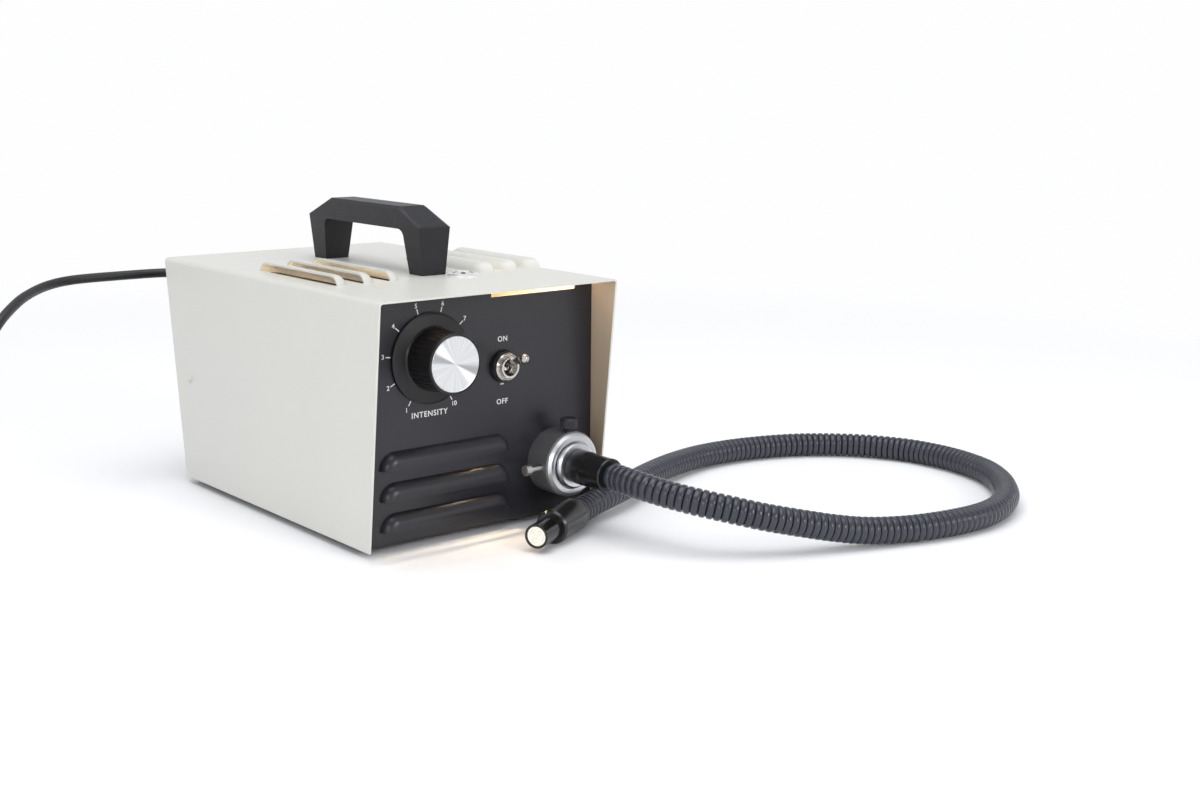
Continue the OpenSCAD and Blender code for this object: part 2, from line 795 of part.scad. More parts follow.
// A tube with a bore: outer rings, inner rings, and a flat ring of triangles at each end
module bored_tube(outer, inner, k) {
    n = len(outer);
    m = len(inner);
    first = n * k;
    polyhedron(
        points = concat(flat_points(outer), flat_points(inner)),
        faces = [
            for (i = [0 : n - 2]) each wall(i * k, (i + 1) * k, k),
            for (i = [0 : m - 2]) each wall(first + i * k, first + (i + 1) * k, k, true),
            each wall(0, first, k, true),
            each wall((n - 1) * k, first + (m - 1) * k, k)
        ]);
}

hose_line = smooth_route(hose_route, 6);
hose_s = lengths(hose_line);
hose_len = hose_s[len(hose_s) - 1];
hose_xs = table_of(hose_line, hose_s, 0);
hose_ys = table_of(hose_line, hose_s, 1);
hose_zs = table_of(hose_line, hose_s, 2);
function hose_at(s) = [lookup(s, hose_xs), lookup(s, hose_ys), lookup(s, hose_zs)];

// Direction of the hose at length s. It runs straight into its sleeves.
function hose_dir(s) =
    s < 1 ? [0, -1, 0] : s > hose_len - 1 ? [cos(tip_turn), sin(tip_turn), 0]
    : unit(hose_at(min(s + 2, hose_len)) - hose_at(max(s - 2, 0)));

hose_k = 8;

module guide_hose() {
    plain = 1.5;
    pitch = (hose_len - 2 * plain) / rib_n;
    valley_r = hose_r * rib_valley;
    outer = concat(
        [ring(hose_at(0), hose_dir(0), valley_r, hose_k)],
        [for (i = [0 : rib_n - 1], h = [0, 1])
            let (s = plain + (i + 0.3 + 0.5 * h) * pitch)
            ring(hose_at(s), hose_dir(s), h == 0 ? hose_r : valley_r, hose_k)],
        [ring(hose_at(hose_len), hose_dir(hose_len), valley_r, hose_k)]);
    inner_n = 48;
    inner = [for (i = [0 : inner_n])
        let (s = hose_len * i / inner_n) ring(hose_at(s), hose_dir(s), bore_r, hose_k)];
    color([0.25, 0.26, 0.3]) bored_tube(outer, inner, hose_k);
}

// The glass fibres run from the port's end of the guide to its tip
module fibre_bundle() {
    tip_dir = [cos(tip_turn), sin(tip_turn), 0];
    n = 48;
    middle = [for (i = [0 : n]) let (s = hose_len * i / n) ring(hose_at(s), hose_dir(s), bundle_r, hose_k)];
    first = ring([port_x, port_end_y - 0.6, port_z], [0, -1, 0], bundle_r, hose_k);
    last = ring(tip_start + (tip_sleeve_l + tip_tube_l - 1.2) * tip_dir, tip_dir, bundle_r, hose_k);
    color([0.9, 0.9, 0.85]) solid_tube(concat([first], middle, [last]), hose_k);
}

// Turned end piece: a flange outside the port, a plug inside it and a bore for the fibres
module guide_end() {
    bore = bundle_r + 0.4;
    back = ring_y - 0.5;
    seat = sleeve_r - 0.7;
    color(alu_col)
    turned_y(port_x, port_z) polygon([
        [seat, guide_y], [flange_r - 0.8, guide_y], [flange_r, guide_y + 0.8],
        [flange_r, back], [plug_r, back], [plug_r, port_end_y - 1], [plug_r - 1, port_end_y],
        [bore, port_end_y], [bore, guide_y + 2], [seat, guide_y + 2]
    ]);
}

// Smooth sleeve over the guide's first stretch, from its end piece to the hose, a little thicker at the end piece
module guide_sleeve() {
    color([0.1, 0.1, 0.11])
    turned_y(port_x, port_z) polygon([
        [bundle_r + 0.6, hose_y], [sleeve_r - 0.6, hose_y], [sleeve_r, hose_y + 0.8],
        [sleeve_r - 0.1, hose_y + 17], [sleeve_r + 0.3, hose_y + 19],
        [sleeve_r + 0.3, guide_y - 1], [sleeve_r - 0.3, guide_y - 0.1], [sleeve_r - 0.75, guide_y],
        [sleeve_r - 0.75, guide_y + 2], [bundle_r + 0.6, guide_y + 2]
    ]);
}

// Turns a shape whose axis is +Z so that it points along the guide's tip
module at_tip(s) {
    translate([tip_start.x + s * cos(tip_turn), tip_start.y + s * sin(tip_turn), tip_start.z])
        rotate([0, 90, tip_turn]) children();
}

module tip_sleeve() {
    color([0.1, 0.1, 0.11])
    at_tip(0) rotate_extrude() polygon([
        [bundle_r + 0.6, 0], [sleeve_r - 0.9, 0], [sleeve_r - 0.2, 1.2], [sleeve_r, 8],
        [sleeve_r, tip_sleeve_l - 1.4], [sleeve_r - 1, tip_sleeve_l], [bundle_r + 0.6, tip_sleeve_l]
    ]);
}

module tip_tube() {
    color([0.08, 0.08, 0.08])
    at_tip(tip_sleeve_l) difference() {
        cylinder(h = tip_tube_l, r = tip_r);
        translate([0, 0, tip_tube_l - 1]) cylinder(h = 2, r = tip_face_r + 0.1);
        translate([0, 0, -1]) cylinder(h = tip_tube_l + 2, r = bundle_r + 0.6);
    }
}

module tip_face() {
    color([1, 1, 0.92]) at_tip(tip_sleeve_l + tip_tube_l - 0.98) cylinder(h = 0.6, r = tip_face_r);
}

// ---- lamp ----

module heat_filter() {
    color([0.7, 0.85, 0.9, 0.5]) bar_y(port_x, lamp_y - plate_t - 3, lamp_y - plate_t, port_z, 24);
}

module lamp_reflector() {
    color(steel_col)
    difference() {
        turned_y(port_x, port_z) polygon([
            [22.6, lamp_y], [reflector_r, lamp_y], [reflector_r, lamp_y + 3], [23.4, lamp_y + 4],
            [21.5, lamp_y + 12], [17.5, lamp_y + 20], [11, lamp_y + 27], [7.5, lamp_y + 30],
            [7.5, lamp_y + lamp_l], [0, lamp_y + lamp_l], [0, lamp_y + 27], [6.5, lamp_y + 26],
            [13, lamp_y + 21], [18, lamp_y + 14], [21, lamp_y + 7]
        ]);
        bar_y(port_x, lamp_y + 20, lamp_y + lamp_l + 1, port_z, 5.05);
    }
}

module lamp_capsule() {
    color([0.95, 0.95, 0.9])
    union() {
        bar_y(port_x, lamp_y + 14, lamp_y + lamp_l - 1, port_z, 5);
        translate([port_x, lamp_y + 14, port_z]) sphere(5);
        for (s = [-1, 1])
            bar_y(port_x + 2.65 * s, lamp_y + lamp_l - 2, lamp_y + lamp_l + 6, port_z, 0.8);
    }
}

module lamp_socket() {
    half = socket_h / 2;
    color([0.92, 0.91, 0.87])
    difference() {
        block([port_x - 9, socket_y, port_z - half], [port_x + 9, socket_y + 12, port_z + half]);
        for (s = [-1, 1])
            bar_y(port_x + 2.65 * s, socket_y - 1, socket_y + 7, port_z, 0.9);
    }
}

// Bracket on the floor that holds the lamp by its rim, the filter before it and the socket behind it
module lamp_bracket() {
    z0 = floor_z + sheet_t;
    color(steel_col)
    difference() {
        union() {
            block([port_x - 26, plate_y, z0], [port_x + 26, lamp_y, port_z + 27]);
            block([port_x - 26, plate_y, z0], [port_x + 26, plate_y + 22, z0 + plate_t]);
            block([port_x - 8, plate_y, z0], [port_x + 8, socket_y + 5, z0 + plate_t]);
            block([port_x - 8, socket_y + 5 - plate_t, z0], [port_x + 8, socket_y + 5, port_z - socket_h / 2]);
        }
        bar_y(port_x, plate_y - 1, lamp_y + 1, port_z, 22.5);
        for (s = [-1, 1])
            bar_z(port_x + 18 * s, lamp_screw_y, z0 - 1, z0 + 3, screw_r + run_gap);
    }
}

// ---- transformer ----

module transformer_core() {
    z0 = floor_z + sheet_t;
    color([0.4, 0.4, 0.42])
    translate([trans_x, trans_y, 0])
    difference() {
        block([-trans_w / 2, -trans_d / 2, z0], [trans_w / 2, trans_d / 2, z0 + trans_h]);
        for (s = [-1, 1])
            block([s < 0 ? -22 : 11, -trans_d, z0 + 11], [s < 0 ? -11 : 22, trans_d, z0 + trans_h - 11]);
    }
}

module transformer_coil() {
    z0 = floor_z + sheet_t;
    h = trans_h - 22.8;
    color(copper_col)
    translate([trans_x, trans_y, z0 + 11.4])
    difference() {
        linear_extrude(h) round_outline(43, trans_d + 20, 9);
        block([-11.2, -trans_d / 2 - 0.2, -1], [11.2, trans_d / 2 + 0.2, h + 1]);
        for (s = [-1, 1])
            block([s < 0 ? -40 : 21.7, -trans_d / 2 - 0.2, -1], [s < 0 ? -21.7 : 40, trans_d / 2 + 0.2, h + 1]);
    }
}

module transformer_strap() {
    z0 = floor_z + sheet_t;
    top = z0 + trans_h;
    color(steel_col)
    translate([trans_x, trans_y, 0])
    difference() {
        union() {
            block([-trans_w / 2 - plate_t, -9, z0], [trans_w / 2 + plate_t, 9, top + plate_t]);
            block([-trans_w / 2 - 5.2, -9, z0], [trans_w / 2 + 14, 9, z0 + plate_t]);
        }
        block([-trans_w / 2 - 0.1, -10, z0 - 1], [trans_w / 2 + 0.1, 10, top + 0.1]);
        bar_z(strap_screw_x, 0, z0 - 1, z0 + 3, screw_r + run_gap);
    }
}

// ---- fan ----

module fan_frame() {
    y0 = back_y - sheet_t - fan_t;
    color([0.1, 0.1, 0.1])
    translate([fan_x, 0, fan_z])
    difference() {
        union() {
            difference() {
                along_y(y0, y0 + fan_t) round_outline(fan_w, fan_w, 4);
                bar_y(0, y0 - 1, y0 + fan_t + 1, 0, fan_r);
            }
            bar_y(0, y0, y0 + 3, 0, hub_r);
            for (a = [45 : 90 : 315])
                rotate([0, a, 0]) block([hub_r - 1, y0, -2], [fan_r + 1, y0 + 3, 2]);
        }
        bar_y(0, y0 - 1, y0 + 4, 0, 1.5 + run_gap);
        for (sx = [-1, 1], sz = [-1, 1])
            bar_y(sx * fan_pitch / 2, y0 - 1, y0 + fan_t + 1, sz * fan_pitch / 2, screw_r + run_gap);
    }
}

module fan_blade(y0) {
    intersection() {
        difference() {
            bar_y(0, y0 + 5, y0 + 22, 0, fan_r - 1.2);
            bar_y(0, y0 + 4, y0 + 23, 0, hub_r - 1);
        }
        translate([0, y0 + 13.5, 0]) rotate([38, 0, 0])
            block([hub_r - 2, -0.8, -14], [fan_r, 0.8, 14]);
    }
}

module fan_rotor() {
    y0 = back_y - sheet_t - fan_t;
    color([0.14, 0.14, 0.15])
    translate([fan_x, 0, fan_z]) {
        bar_y(0, y0 + 4, y0 + 23, 0, hub_r);
        bar_y(0, y0 + 0.4, y0 + 5, 0, 1.5);
        for (i = [0 : blade_n - 1])
            rotate([0, i * 360 / blade_n, 0]) fan_blade(y0);
    }
}

// Wire guard over the fan's outlet: rings on four spokes that end in eyes for the screws
module fan_guard() {
    wire = 0.9;
    y = back_y + wire + 0.05;
    color(steel_col)
    translate([fan_x, y, fan_z]) {
        for (r = [10 : 6.5 : 36])
            rotate([90, 0, 0]) rotate_extrude() translate([r, 0]) circle(wire, $fn = 16);
        for (a = [45 : 90 : 315]) rotate([0, a, 0]) difference() {
            union() {
                translate([8, 0, 0]) rotate([0, 90, 0]) cylinder(h = fan_pitch / 2 * sqrt(2) - 10, r = wire, $fn = 16);
                bar_y(fan_pitch / 2 * sqrt(2), -wire, wire, 0, 4.2);
            }
            bar_y(fan_pitch / 2 * sqrt(2), -wire - 1, wire + 1, 0, screw_r + 0.15);
        }
    }
}

module fan_screws() {
    y = back_y + 1.9;
    color(steel_col)
    for (sx = [-1, 1], sz = [-1, 1])
        translate([fan_x + sx * fan_pitch / 2, y, fan_z + sz * fan_pitch / 2]) rotate([90, 0, 0])
            pan_screw(screw_r, 16);
}

// ---- dimmer ----

module dimmer_board() {
    color([0.1, 0.35, 0.2])
    difference() {
        block([board_x[0], board_y, board_z[0]], [board_x[1], board_y + board_t, board_z[1]]);
        at_board_corners() bar_y(0, board_y - 1, board_y + 3, 0, 1.6);
    }
}

// Places something in the middle of each corner's hole
module at_board_corners() {
    for (x = [board_x[0] + board_inset, board_x[1] - board_inset])
        for (z = [board_z[0] + board_inset, board_z[1] - board_inset])
            translate([x, 0, z]) children();
}

// Finned heat sink, capacitors and a choke on the back of the board
module board_parts() {
    y0 = board_y + board_t;
    color([0.3, 0.3, 0.34]) {
        block([-62, y0, 66], [-28, y0 + 3, 92]);
        for (x = [-62 : 5.4 : -29])
            block([x, y0 + 1, 66], [x + 1.6, y0 + 16, 92]);
        bar_y(-60, y0, y0 + 14, 107, 7);
        bar_y(-42, y0, y0 + 11, 107, 9);
        block([-30, y0, 98], [-20, y0 + 12, 116]);
    }
}

// Spacers from the front panel to the board
module board_spacers() {
    color(steel_col) at_board_corners() union() {
        bar_y(0, panel_y + sheet_t, board_y, 0, 3);
        bar_y(0, board_y - 0.5, board_y + 4, 0, 1.55);
    }
}

// Screws that hold the inner brackets to the floor
module floor_screws() {
    top = floor_z + sheet_t + plate_t;
    color(steel_col)
    for (p = floor_screw_at)
        translate([p.x, p.y, top]) rotate([180, 0, 0]) pan_screw(screw_r, plate_t + sheet_t);
}

// ---- mains inlet side ----

module fuse_holder() {
    color([0.12, 0.12, 0.12])
    difference() {
        union() {
            bar_y(fuse_x, back_y - 30, back_y + 0.2, fuse_z, 6);
            bar_y(fuse_x, back_y, back_y + 2, fuse_z, 8.2);
        }
        bar_y(fuse_x, back_y - 28, back_y + 3, fuse_z, 4.6 + run_gap);
    }
}

module fuse() {
    color([0.8, 0.82, 0.82]) bar_y(fuse_x, back_y - 28, back_y - 7.5, fuse_z, 2.6);
}

module fuse_cap() {
    color([0.12, 0.12, 0.12])
    difference() {
        union() {
            bar_y(fuse_x, back_y - 7, back_y + 3, fuse_z, 4.6);
            bar_y(fuse_x, back_y + 2.3, back_y + 9, fuse_z, 6.6, 6);
        }
        block([fuse_x - 4.5, back_y + 7.6, fuse_z - 0.6], [fuse_x + 4.5, back_y + 10, fuse_z + 0.6]);
        for (i = [0 : 11])
            translate([fuse_x, 0, fuse_z]) rotate([0, 30 * i, 0])
                bar_y(7.1, back_y + 3, back_y + 8, 0, 0.8, $fn = 14);
    }
}

// Moulded grommet round the lead: a tapered tail with slots, a flange and a waist in the panel
module strain_relief() {
    tail = relief_l - 3;
    color([0.07, 0.07, 0.07])
    difference() {
        turned_y(lead_x, lead_z) polygon([
            [0, back_y - 8], [6.4, back_y - 8], [6, back_y - sheet_t - 0.1], [4.8, back_y - sheet_t - 0.1],
            [4.8, back_y + 0.1], [7.6, back_y + 0.1], [7.6, back_y + 3], [5.9, back_y + 3.4],
            [lead_r + 1.1, relief_y], [0, relief_y]
        ]);
        for (i = [0 : 2], s = [-1, 1])
            translate([lead_x, back_y + 6 + 5 * i, lead_z])
                block([s < 0 ? -9 : 3.6, 0, -9], [s < 0 ? -3.6 : 9, 1.6, 9]);
    }
}

module mains_lead() {
    k = 8;
    n = len(lead_route);
    last_dir = [sin(coil_start), -cos(coil_start), 0];
    rings = [for (i = [0 : n - 1])
        ring(lead_route[i], i == 0 ? [0, 1, 0] : i == n - 1 ? last_dir : heading(lead_route, i), lead_r, k)];
    color([0.06, 0.06, 0.06]) solid_tube(rings, k);
}

// Centre of the coiled lead after u turns: in along the lower layer, out along the upper one
half_turns = coil_turns / 2;
function coil_radius(u) = coil_in_r + (coil_out_r - coil_in_r) * abs(u - half_turns) / half_turns;
function eased(t) = t <= 0 ? 0 : t >= 1 ? 1 : t * t * (3 - 2 * t);
function coil_point(u) =
    let (a = coil_start - 360 * u)
    [coil_x + coil_radius(u) * cos(a), coil_y + coil_radius(u) * sin(a),
        coil_z + layer_h * eased((u - half_turns + 0.25) * 2)];

plug_x = coil_x - coil_out_r;
plug_y = coil_y + 34;
plug_z = 12.4;
tail_route = [
    [plug_x, coil_y + 8, coil_z + layer_h + 0.3], [plug_x, coil_y + 16, coil_z + layer_h + 0.9],
    [plug_x, coil_y + 25, plug_z - 0.3], [plug_x, plug_y, plug_z]
];

steps_a_turn = 24;
coil_steps = floor(coil_turns * steps_a_turn);
coil_line = concat([for (i = [0 : coil_steps]) coil_point(i / steps_a_turn)], [coil_point(coil_turns)]);

// Least distance between turns, measured on the centre line's points a good way apart
coil_gap = min([for (i = [0 : len(coil_line) - 1], j = [i + 12 : 1 : len(coil_line) - 1])
    norm(coil_line[i] - coil_line[j])]) - lead_d;
echo(least_gap_between_turns = coil_gap);
echo(hose_length = hose_len, rib_pitch = hose_len / rib_n);
echo(lead_length = lengths(lead_route)[len(lead_route) - 1], coil_length = lengths(coil_line)[len(coil_line) - 1]);

module lead_coil() {
    k = 6;
    line = concat(coil_line, tail_route);
    n = len(line);
    first_dir = [sin(coil_start), -cos(coil_start), 0];
    rings = [for (i = [0 : n - 1])
        ring(line[i], i == 0 ? first_dir : i == n - 1 ? [0, 1, 0] : heading(line, i), lead_r, k)];
    color([0.06, 0.06, 0.06]) solid_tube(rings, k);
}

// Flat tie round all the turns at one place
module coil_tie() {
    low = 0.05;
    high = coil_z + layer_h + lead_r + 0.8;
    r0 = coil_in_r - lead_r - 1;
    r1 = coil_out_r + lead_r + 1;
    color([0.1, 0.1, 0.1])
    translate([coil_x, coil_y, (low + high) / 2]) rotate([0, 0, 100]) translate([(r0 + r1) / 2, 4, 0])
        rotate([90, 0, 0]) linear_extrude(8) difference() {
            round_outline(r1 - r0, high - low, 3);
            round_outline(r1 - r0 - 1.2, high - low - 1.2, 2.4);
        }
}

// Moulded plug lying beside the coil, its blades pointing away from the lead
module mains_plug() {
    color([0.06, 0.06, 0.06])
    translate([plug_x, plug_y, plug_z])
    union() {
        difference() {
            rotate([-90, 0, 0]) cylinder(h = 14, r1 = lead_r + 1, r2 = 6);
            for (i = [0 : 2], s = [-1, 1])
                block([s < 0 ? -9 : 3.8, 3 + 3.5 * i, -9], [s < 0 ? -3.8 : 9, 4.2 + 3.5 * i, 9]);
        }
        translate([0, 13.5, 0]) rotate([-90, 0, 0]) cylinder(h = 8, r1 = 8, r2 = 12);
        translate([0, 21, 0]) intersection() {
            rotate([-90, 0, 0]) cylinder(h = 16, r = 15);
            block([-15, 0, -plug_z], [15, 16, plug_z]);
        }
        color(brass_col) for (s = [-1, 1])
            block([6.35 * s - 0.75, 36, -3.2], [6.35 * s + 0.75, 54, 3.2]);
        color(brass_col) translate([0, 36, -9]) rotate([-90, 0, 0]) cylinder(h = 19, r = 2.4);
    }
}

cover();
chassis();
handle();
handle_screws();
cover_screws();
feet();
vent_plug();
knob();
knob_cap();
knob_set_screw();
pot_shaft();
pot_nut();
potentiometer();
toggle_body();
toggle_washer();
toggle_nut();
toggle_lever();
port_collar();
port_ring();
port_nut();
thumbscrew();
port_screw();
guide_end();
guide_sleeve();
guide_hose();
fibre_bundle();
tip_sleeve();
tip_tube();
tip_face();
heat_filter();
lamp_reflector();
lamp_capsule();
lamp_socket();
lamp_bracket();
transformer_core();
transformer_coil();
transformer_strap();
fan_frame();
fan_rotor();
fan_guard();
fan_screws();
dimmer_board();
board_parts();
board_spacers();
floor_screws();
fuse_holder();
fuse();
fuse_cap();
strain_relief();
mains_lead();
lead_coil();
coil_tie();
mains_plug();
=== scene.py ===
import math

import bpy
from mathutils import Matrix, Vector


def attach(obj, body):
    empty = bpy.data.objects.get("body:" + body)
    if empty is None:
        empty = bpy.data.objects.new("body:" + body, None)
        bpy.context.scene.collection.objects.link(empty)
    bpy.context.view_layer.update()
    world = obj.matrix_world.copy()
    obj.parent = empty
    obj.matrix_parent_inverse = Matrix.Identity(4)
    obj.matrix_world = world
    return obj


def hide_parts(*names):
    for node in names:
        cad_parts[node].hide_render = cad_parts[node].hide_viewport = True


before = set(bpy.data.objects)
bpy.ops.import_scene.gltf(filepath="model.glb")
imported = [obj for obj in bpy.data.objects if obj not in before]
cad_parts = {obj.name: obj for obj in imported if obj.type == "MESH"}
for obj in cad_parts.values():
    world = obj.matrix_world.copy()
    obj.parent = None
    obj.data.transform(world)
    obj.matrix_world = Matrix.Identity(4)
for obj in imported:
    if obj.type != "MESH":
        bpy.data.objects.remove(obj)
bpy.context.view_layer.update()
MM = 0.001

# ---- Camera ----
# The picture is taken from the left front with a normal lens, from about a metre away and a
# little above the handle. It leans by 0.6 degrees, as a camera on a hand-set tripod does.

eye = Vector((-0.5060, -0.7884, 0.2543))
heading = math.radians(40.665)
dip = math.radians(11.757)
lean = math.radians(0.616)
look = Vector((math.sin(heading) * math.cos(dip), math.cos(heading) * math.cos(dip), -math.sin(dip)))
level_right = Vector((math.cos(heading), -math.sin(heading), 0.0))
level_up = level_right.cross(look)
right = level_right * math.cos(lean) + level_up * math.sin(lean)
up = level_up * math.cos(lean) - level_right * math.sin(lean)
camera = bpy.data.objects.new("camera", bpy.data.cameras.new("camera"))
camera.data.lens = 47.02
camera.data.sensor_width = 36
camera.data.clip_start = 0.05
camera.matrix_world = Matrix((right, up, -look)).transposed().to_4x4()
camera.matrix_world.translation = eye
bpy.context.scene.collection.objects.link(camera)
bpy.context.scene.camera = camera
bpy.context.scene.view_settings.view_transform = "Standard"


# ---- Mains lead ----
# A round black three-core lead with a smooth, slightly dull PVC jacket. It leaves the rear
# panel's strain relief, drops behind the cover and ends in a tied coil with a moulded plug.


class Signal:
    """The output of a shader node, which can be used in plain sums."""

    def __init__(self, finish, socket):
        self.finish = finish
        self.socket = socket

    def math(self, operation, *values):
        return self.finish.node("ShaderNodeMath", {"operation": operation}, dict(enumerate(values)))

    def __add__(self, other):
        return self.math("ADD", self, other)

    def __radd__(self, other):
        return self.math("ADD", other, self)

    def __sub__(self, other):
        return self.math("SUBTRACT", self, other)

    def __rsub__(self, other):
        return self.math("SUBTRACT", other, self)

    def __mul__(self, other):
        return self.math("MULTIPLY", self, other)

    def __rmul__(self, other):
        return self.math("MULTIPLY", other, self)

    def __truediv__(self, other):
        return self.math("DIVIDE", self, other)

    def __pow__(self, other):
        return self.math("POWER", self, other)

    def __gt__(self, other):
        return self.math("GREATER_THAN", self, other)

    def __lt__(self, other):
        return self.math("LESS_THAN", self, other)


class Finish:
    """A material, built up from the nodes that its surface needs."""

    def __init__(self, name, **sockets):
        self.material = bpy.data.materials.new(name)
        self.material.use_nodes = True
        self.nodes = self.material.node_tree.nodes
        self.shader = self.nodes["Principled BSDF"]
        for key, value in sockets.items():
            self.feed(key.replace("_", " ").title().replace("Ior", "IOR"), value)

    def link(self, value, socket):
        if isinstance(value, Signal):
            self.material.node_tree.links.new(value.socket, socket)
        else:
            socket.default_value = value

    def feed(self, name, value):
        """Sets or links one of the surface's own sockets."""
        self.link(value, self.shader.inputs[name])

    def node(self, kind, settings=None, sockets=None, output=0):
        """Adds any node: its settings first, then the values or links of its sockets."""
        made = self.nodes.new(kind)
        for key, value in (settings or {}).items():
            setattr(made, key, value)
        for key, value in (sockets or {}).items():
            self.link(value, made.inputs[key])
        return Signal(self, made.outputs[output])

    def place(self):
        """The point on the piece, in metres, in the shared frame."""
        return self.node("ShaderNodeTexCoord", output="Object")

    def along(self, axis):
        """One coordinate of the point on the piece: X, Y or Z."""
        return self.node("ShaderNodeSeparateXYZ", sockets={0: self.place()}, output=axis)

    def noise(self, size, detail=2.0):
        """Even noise from 0 to 1, with grains of the given size in metres."""
        return self.node("ShaderNodeTexNoise", sockets={
            "Vector": self.place(), "Scale": 1 / size, "Detail": detail})

    def step(self, value, low, high):
        """0 below low, 1 above high, and a smooth rise between."""
        return self.node("ShaderNodeMapRange", {"interpolation_type": "SMOOTHSTEP"},
                         {"Value": value, "From Min": low, "From Max": high})

    def tint(self, amount, plain, other):
        """A colour between two colours."""
        return self.node("ShaderNodeMix", {"data_type": "RGBA"}, {0: amount, 6: plain, 7: other}, output=2)

    def bump(self, height, depth):
        """A relief whose height of 0 to 1 stands for the given depth in metres."""
        self.feed("Normal", self.node("ShaderNodeBump", sockets={"Height": height, "Distance": depth}))


def grey(level, blue=0.0):
    """A neutral colour, or a slightly blue one."""
    return (level, level, level * (1 + blue), 1)


def through(route, steps):
    """The smooth curve through a route's points, with so many points to each stretch."""
    line = []
    for i in range(len(route) - 1):
        a = route[max(i - 1, 0)]
        b = route[i]
        c = route[i + 1]
        d = route[min(i + 2, len(route) - 1)]
        for k in range(steps):
            t = k / steps
            line.append(0.5 * (2 * b + (c - a) * t + (2 * a - 5 * b + 4 * c - d) * t ** 2
                               + (3 * b - a - 3 * c + d) * t ** 3))
    return line + [route[-1]]


def length_of(line):
    """The length of a line of points."""
    return sum((b - a).length for a, b in zip(line, line[1:]))


lead_r = 0.0029
coil_middle = Vector((-0.292, 0.073, 0.0037))
coil_start = math.radians(-47.7)
coil_out_r = 0.0446
coil_in_r = 0.0242
coil_turns = 6.367
layer_h = 0.0064
steps_a_turn = 36

lead_route = [Vector(p) * MM for p in [
    (-50, 126.5, 126), (-50, 132.5, 126), (-51, 139.3, 126), (-53.5, 145.5, 126),
    (-57.5, 150.8, 126), (-63, 154.7, 126), (-69.5, 157, 126), (-77, 158, 126), (-88, 158.4, 126),
    (-100, 158.4, 126), (-113, 158, 126), (-125, 157, 125.8), (-137, 153.5, 125.2),
    (-150, 146, 123.8), (-165, 132, 121.5), (-177, 119.5, 118), (-190, 106, 112),
    (-201, 96, 102.5), (-212, 86, 87.5), (-220.5, 78, 70), (-228, 70.5, 51),
    (-235, 63.5, 33), (-242, 56.5, 18.5), (-249.5, 49.8, 9), (-256.6, 44.4, 4.8)]]


def coil_point(turn):
    """Where the coiled lead is after so many turns: in along the lower layer, out along the upper."""
    half = coil_turns / 2
    radius = coil_in_r + (coil_out_r - coil_in_r) * abs(turn - half) / half
    climb = min(max((turn - half + 0.25) * 2, 0), 1)
    angle = coil_start - 2 * math.pi * turn
    return coil_middle + Vector((radius * math.cos(angle), radius * math.sin(angle),
                                 layer_h * climb ** 2 * (3 - 2 * climb)))


coil_line = [coil_point(i / steps_a_turn) for i in range(int(coil_turns * steps_a_turn) + 1)]
coil_end = coil_point(coil_turns)
plug_end = Vector((coil_end.x, coil_middle.y + 0.034, 0.0124))
tail_route = [coil_end, Vector((coil_end.x, 0.081, 0.0104)), Vector((coil_end.x, 0.089, 0.0110)),
              Vector((coil_end.x, 0.098, 0.0121)), plug_end]
lead_line = through(lead_route + [coil_line[0]], 4)[:-1] + coil_line + through(tail_route, 3)


def rope(name, line, radius):
    """A round cord along a line, as one open spline with closed ends."""
    curve = bpy.data.curves.new(name, "CURVE")
    curve.dimensions = "3D"
    curve.bevel_depth = radius
    curve.bevel_resolution = 5
    curve.use_fill_caps = True
    spline = curve.splines.new("POLY")
    spline.points.add(len(line) - 1)
    for point, place in zip(spline.points, line):
        point.co = (*place, 1)
    made = bpy.data.objects.new(name, curve)
    bpy.context.scene.collection.objects.link(made)
    return made


jacket = Finish("lead jacket", base_color=grey(0.012, 0.1))
jacket.bump(jacket.noise(0.0006, detail=3), 0.00004)
jacket.feed("Roughness", 0.36 + 0.16 * jacket.noise(0.004))
lead = rope("lead", lead_line, lead_r)
lead.data.materials.append(jacket.material)
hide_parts("mains_lead", "lead_coil")
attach(lead, "lamp_house")
length_of(lead_line)


# ---- Hose of the light guide ----
# A flexible interlocked metal conduit under a ribbed, blue-black PVC skin. It leaves the guide's
# smooth sleeve, loops over the bench to the right and comes back to the guide's tip.

hose_r = 0.0077
hose_bore_r = 0.0052
hose_ribs = 180
hose_sides = 32
tip_turn = math.radians(205.7)
tip_way = Vector((math.cos(tip_turn), math.sin(tip_turn), 0))
hose_route = [Vector(p) * MM for p in [
    (50.5, -150.5, 35), (50.5, -158.5, 34.9), (50.7, -167, 34.5), (53.2, -180, 33.2), (59.5, -194, 30.8),
    (67, -205.5, 28.5), (78, -217, 25.4), (92, -228, 21.4), (109, -237.5, 17.2),
    (129, -246.5, 12.6), (147, -253.5, 9.5), (167.5, -261, 8), (188, -267.5, 7.8),
    (210, -271.5, 7.8), (230.5, -272, 7.8), (251, -267.5, 7.8), (272.5, -257.5, 7.8),
    (290, -244, 7.8), (305, -228.5, 7.8), (318, -208, 7.8), (325.5, -180, 7.8),
    (325, -152, 7.8), (318.5, -131.5, 7.8), (306, -111.5, 7.8), (288.5, -94.5, 7.8),
    (270, -83, 7.8), (248, -74.8, 7.8), (225, -70.5, 8), (197, -70.5, 8.4),
    (165, -78.2, 9.3), (134, -90.8, 10.4), (105, -105, 11.4), (84, -114.5, 12),
    (68, -119.4, 11.2), (54, -123.8, 10), (42.5, -128.8, 9.6)]]
hose_line = through(hose_route, 8)
hose_length = length_of(hose_line)

# One rib: places along its pitch, and its radius there as a part of the full radius
groove_size = 0.85
rib_shape = [(0.0, groove_size), (0.06, 0.88), (0.13, 0.945), (0.24, 0.985), (0.5, 1.0),
             (0.76, 0.985), (0.87, 0.945), (0.94, 0.88)]


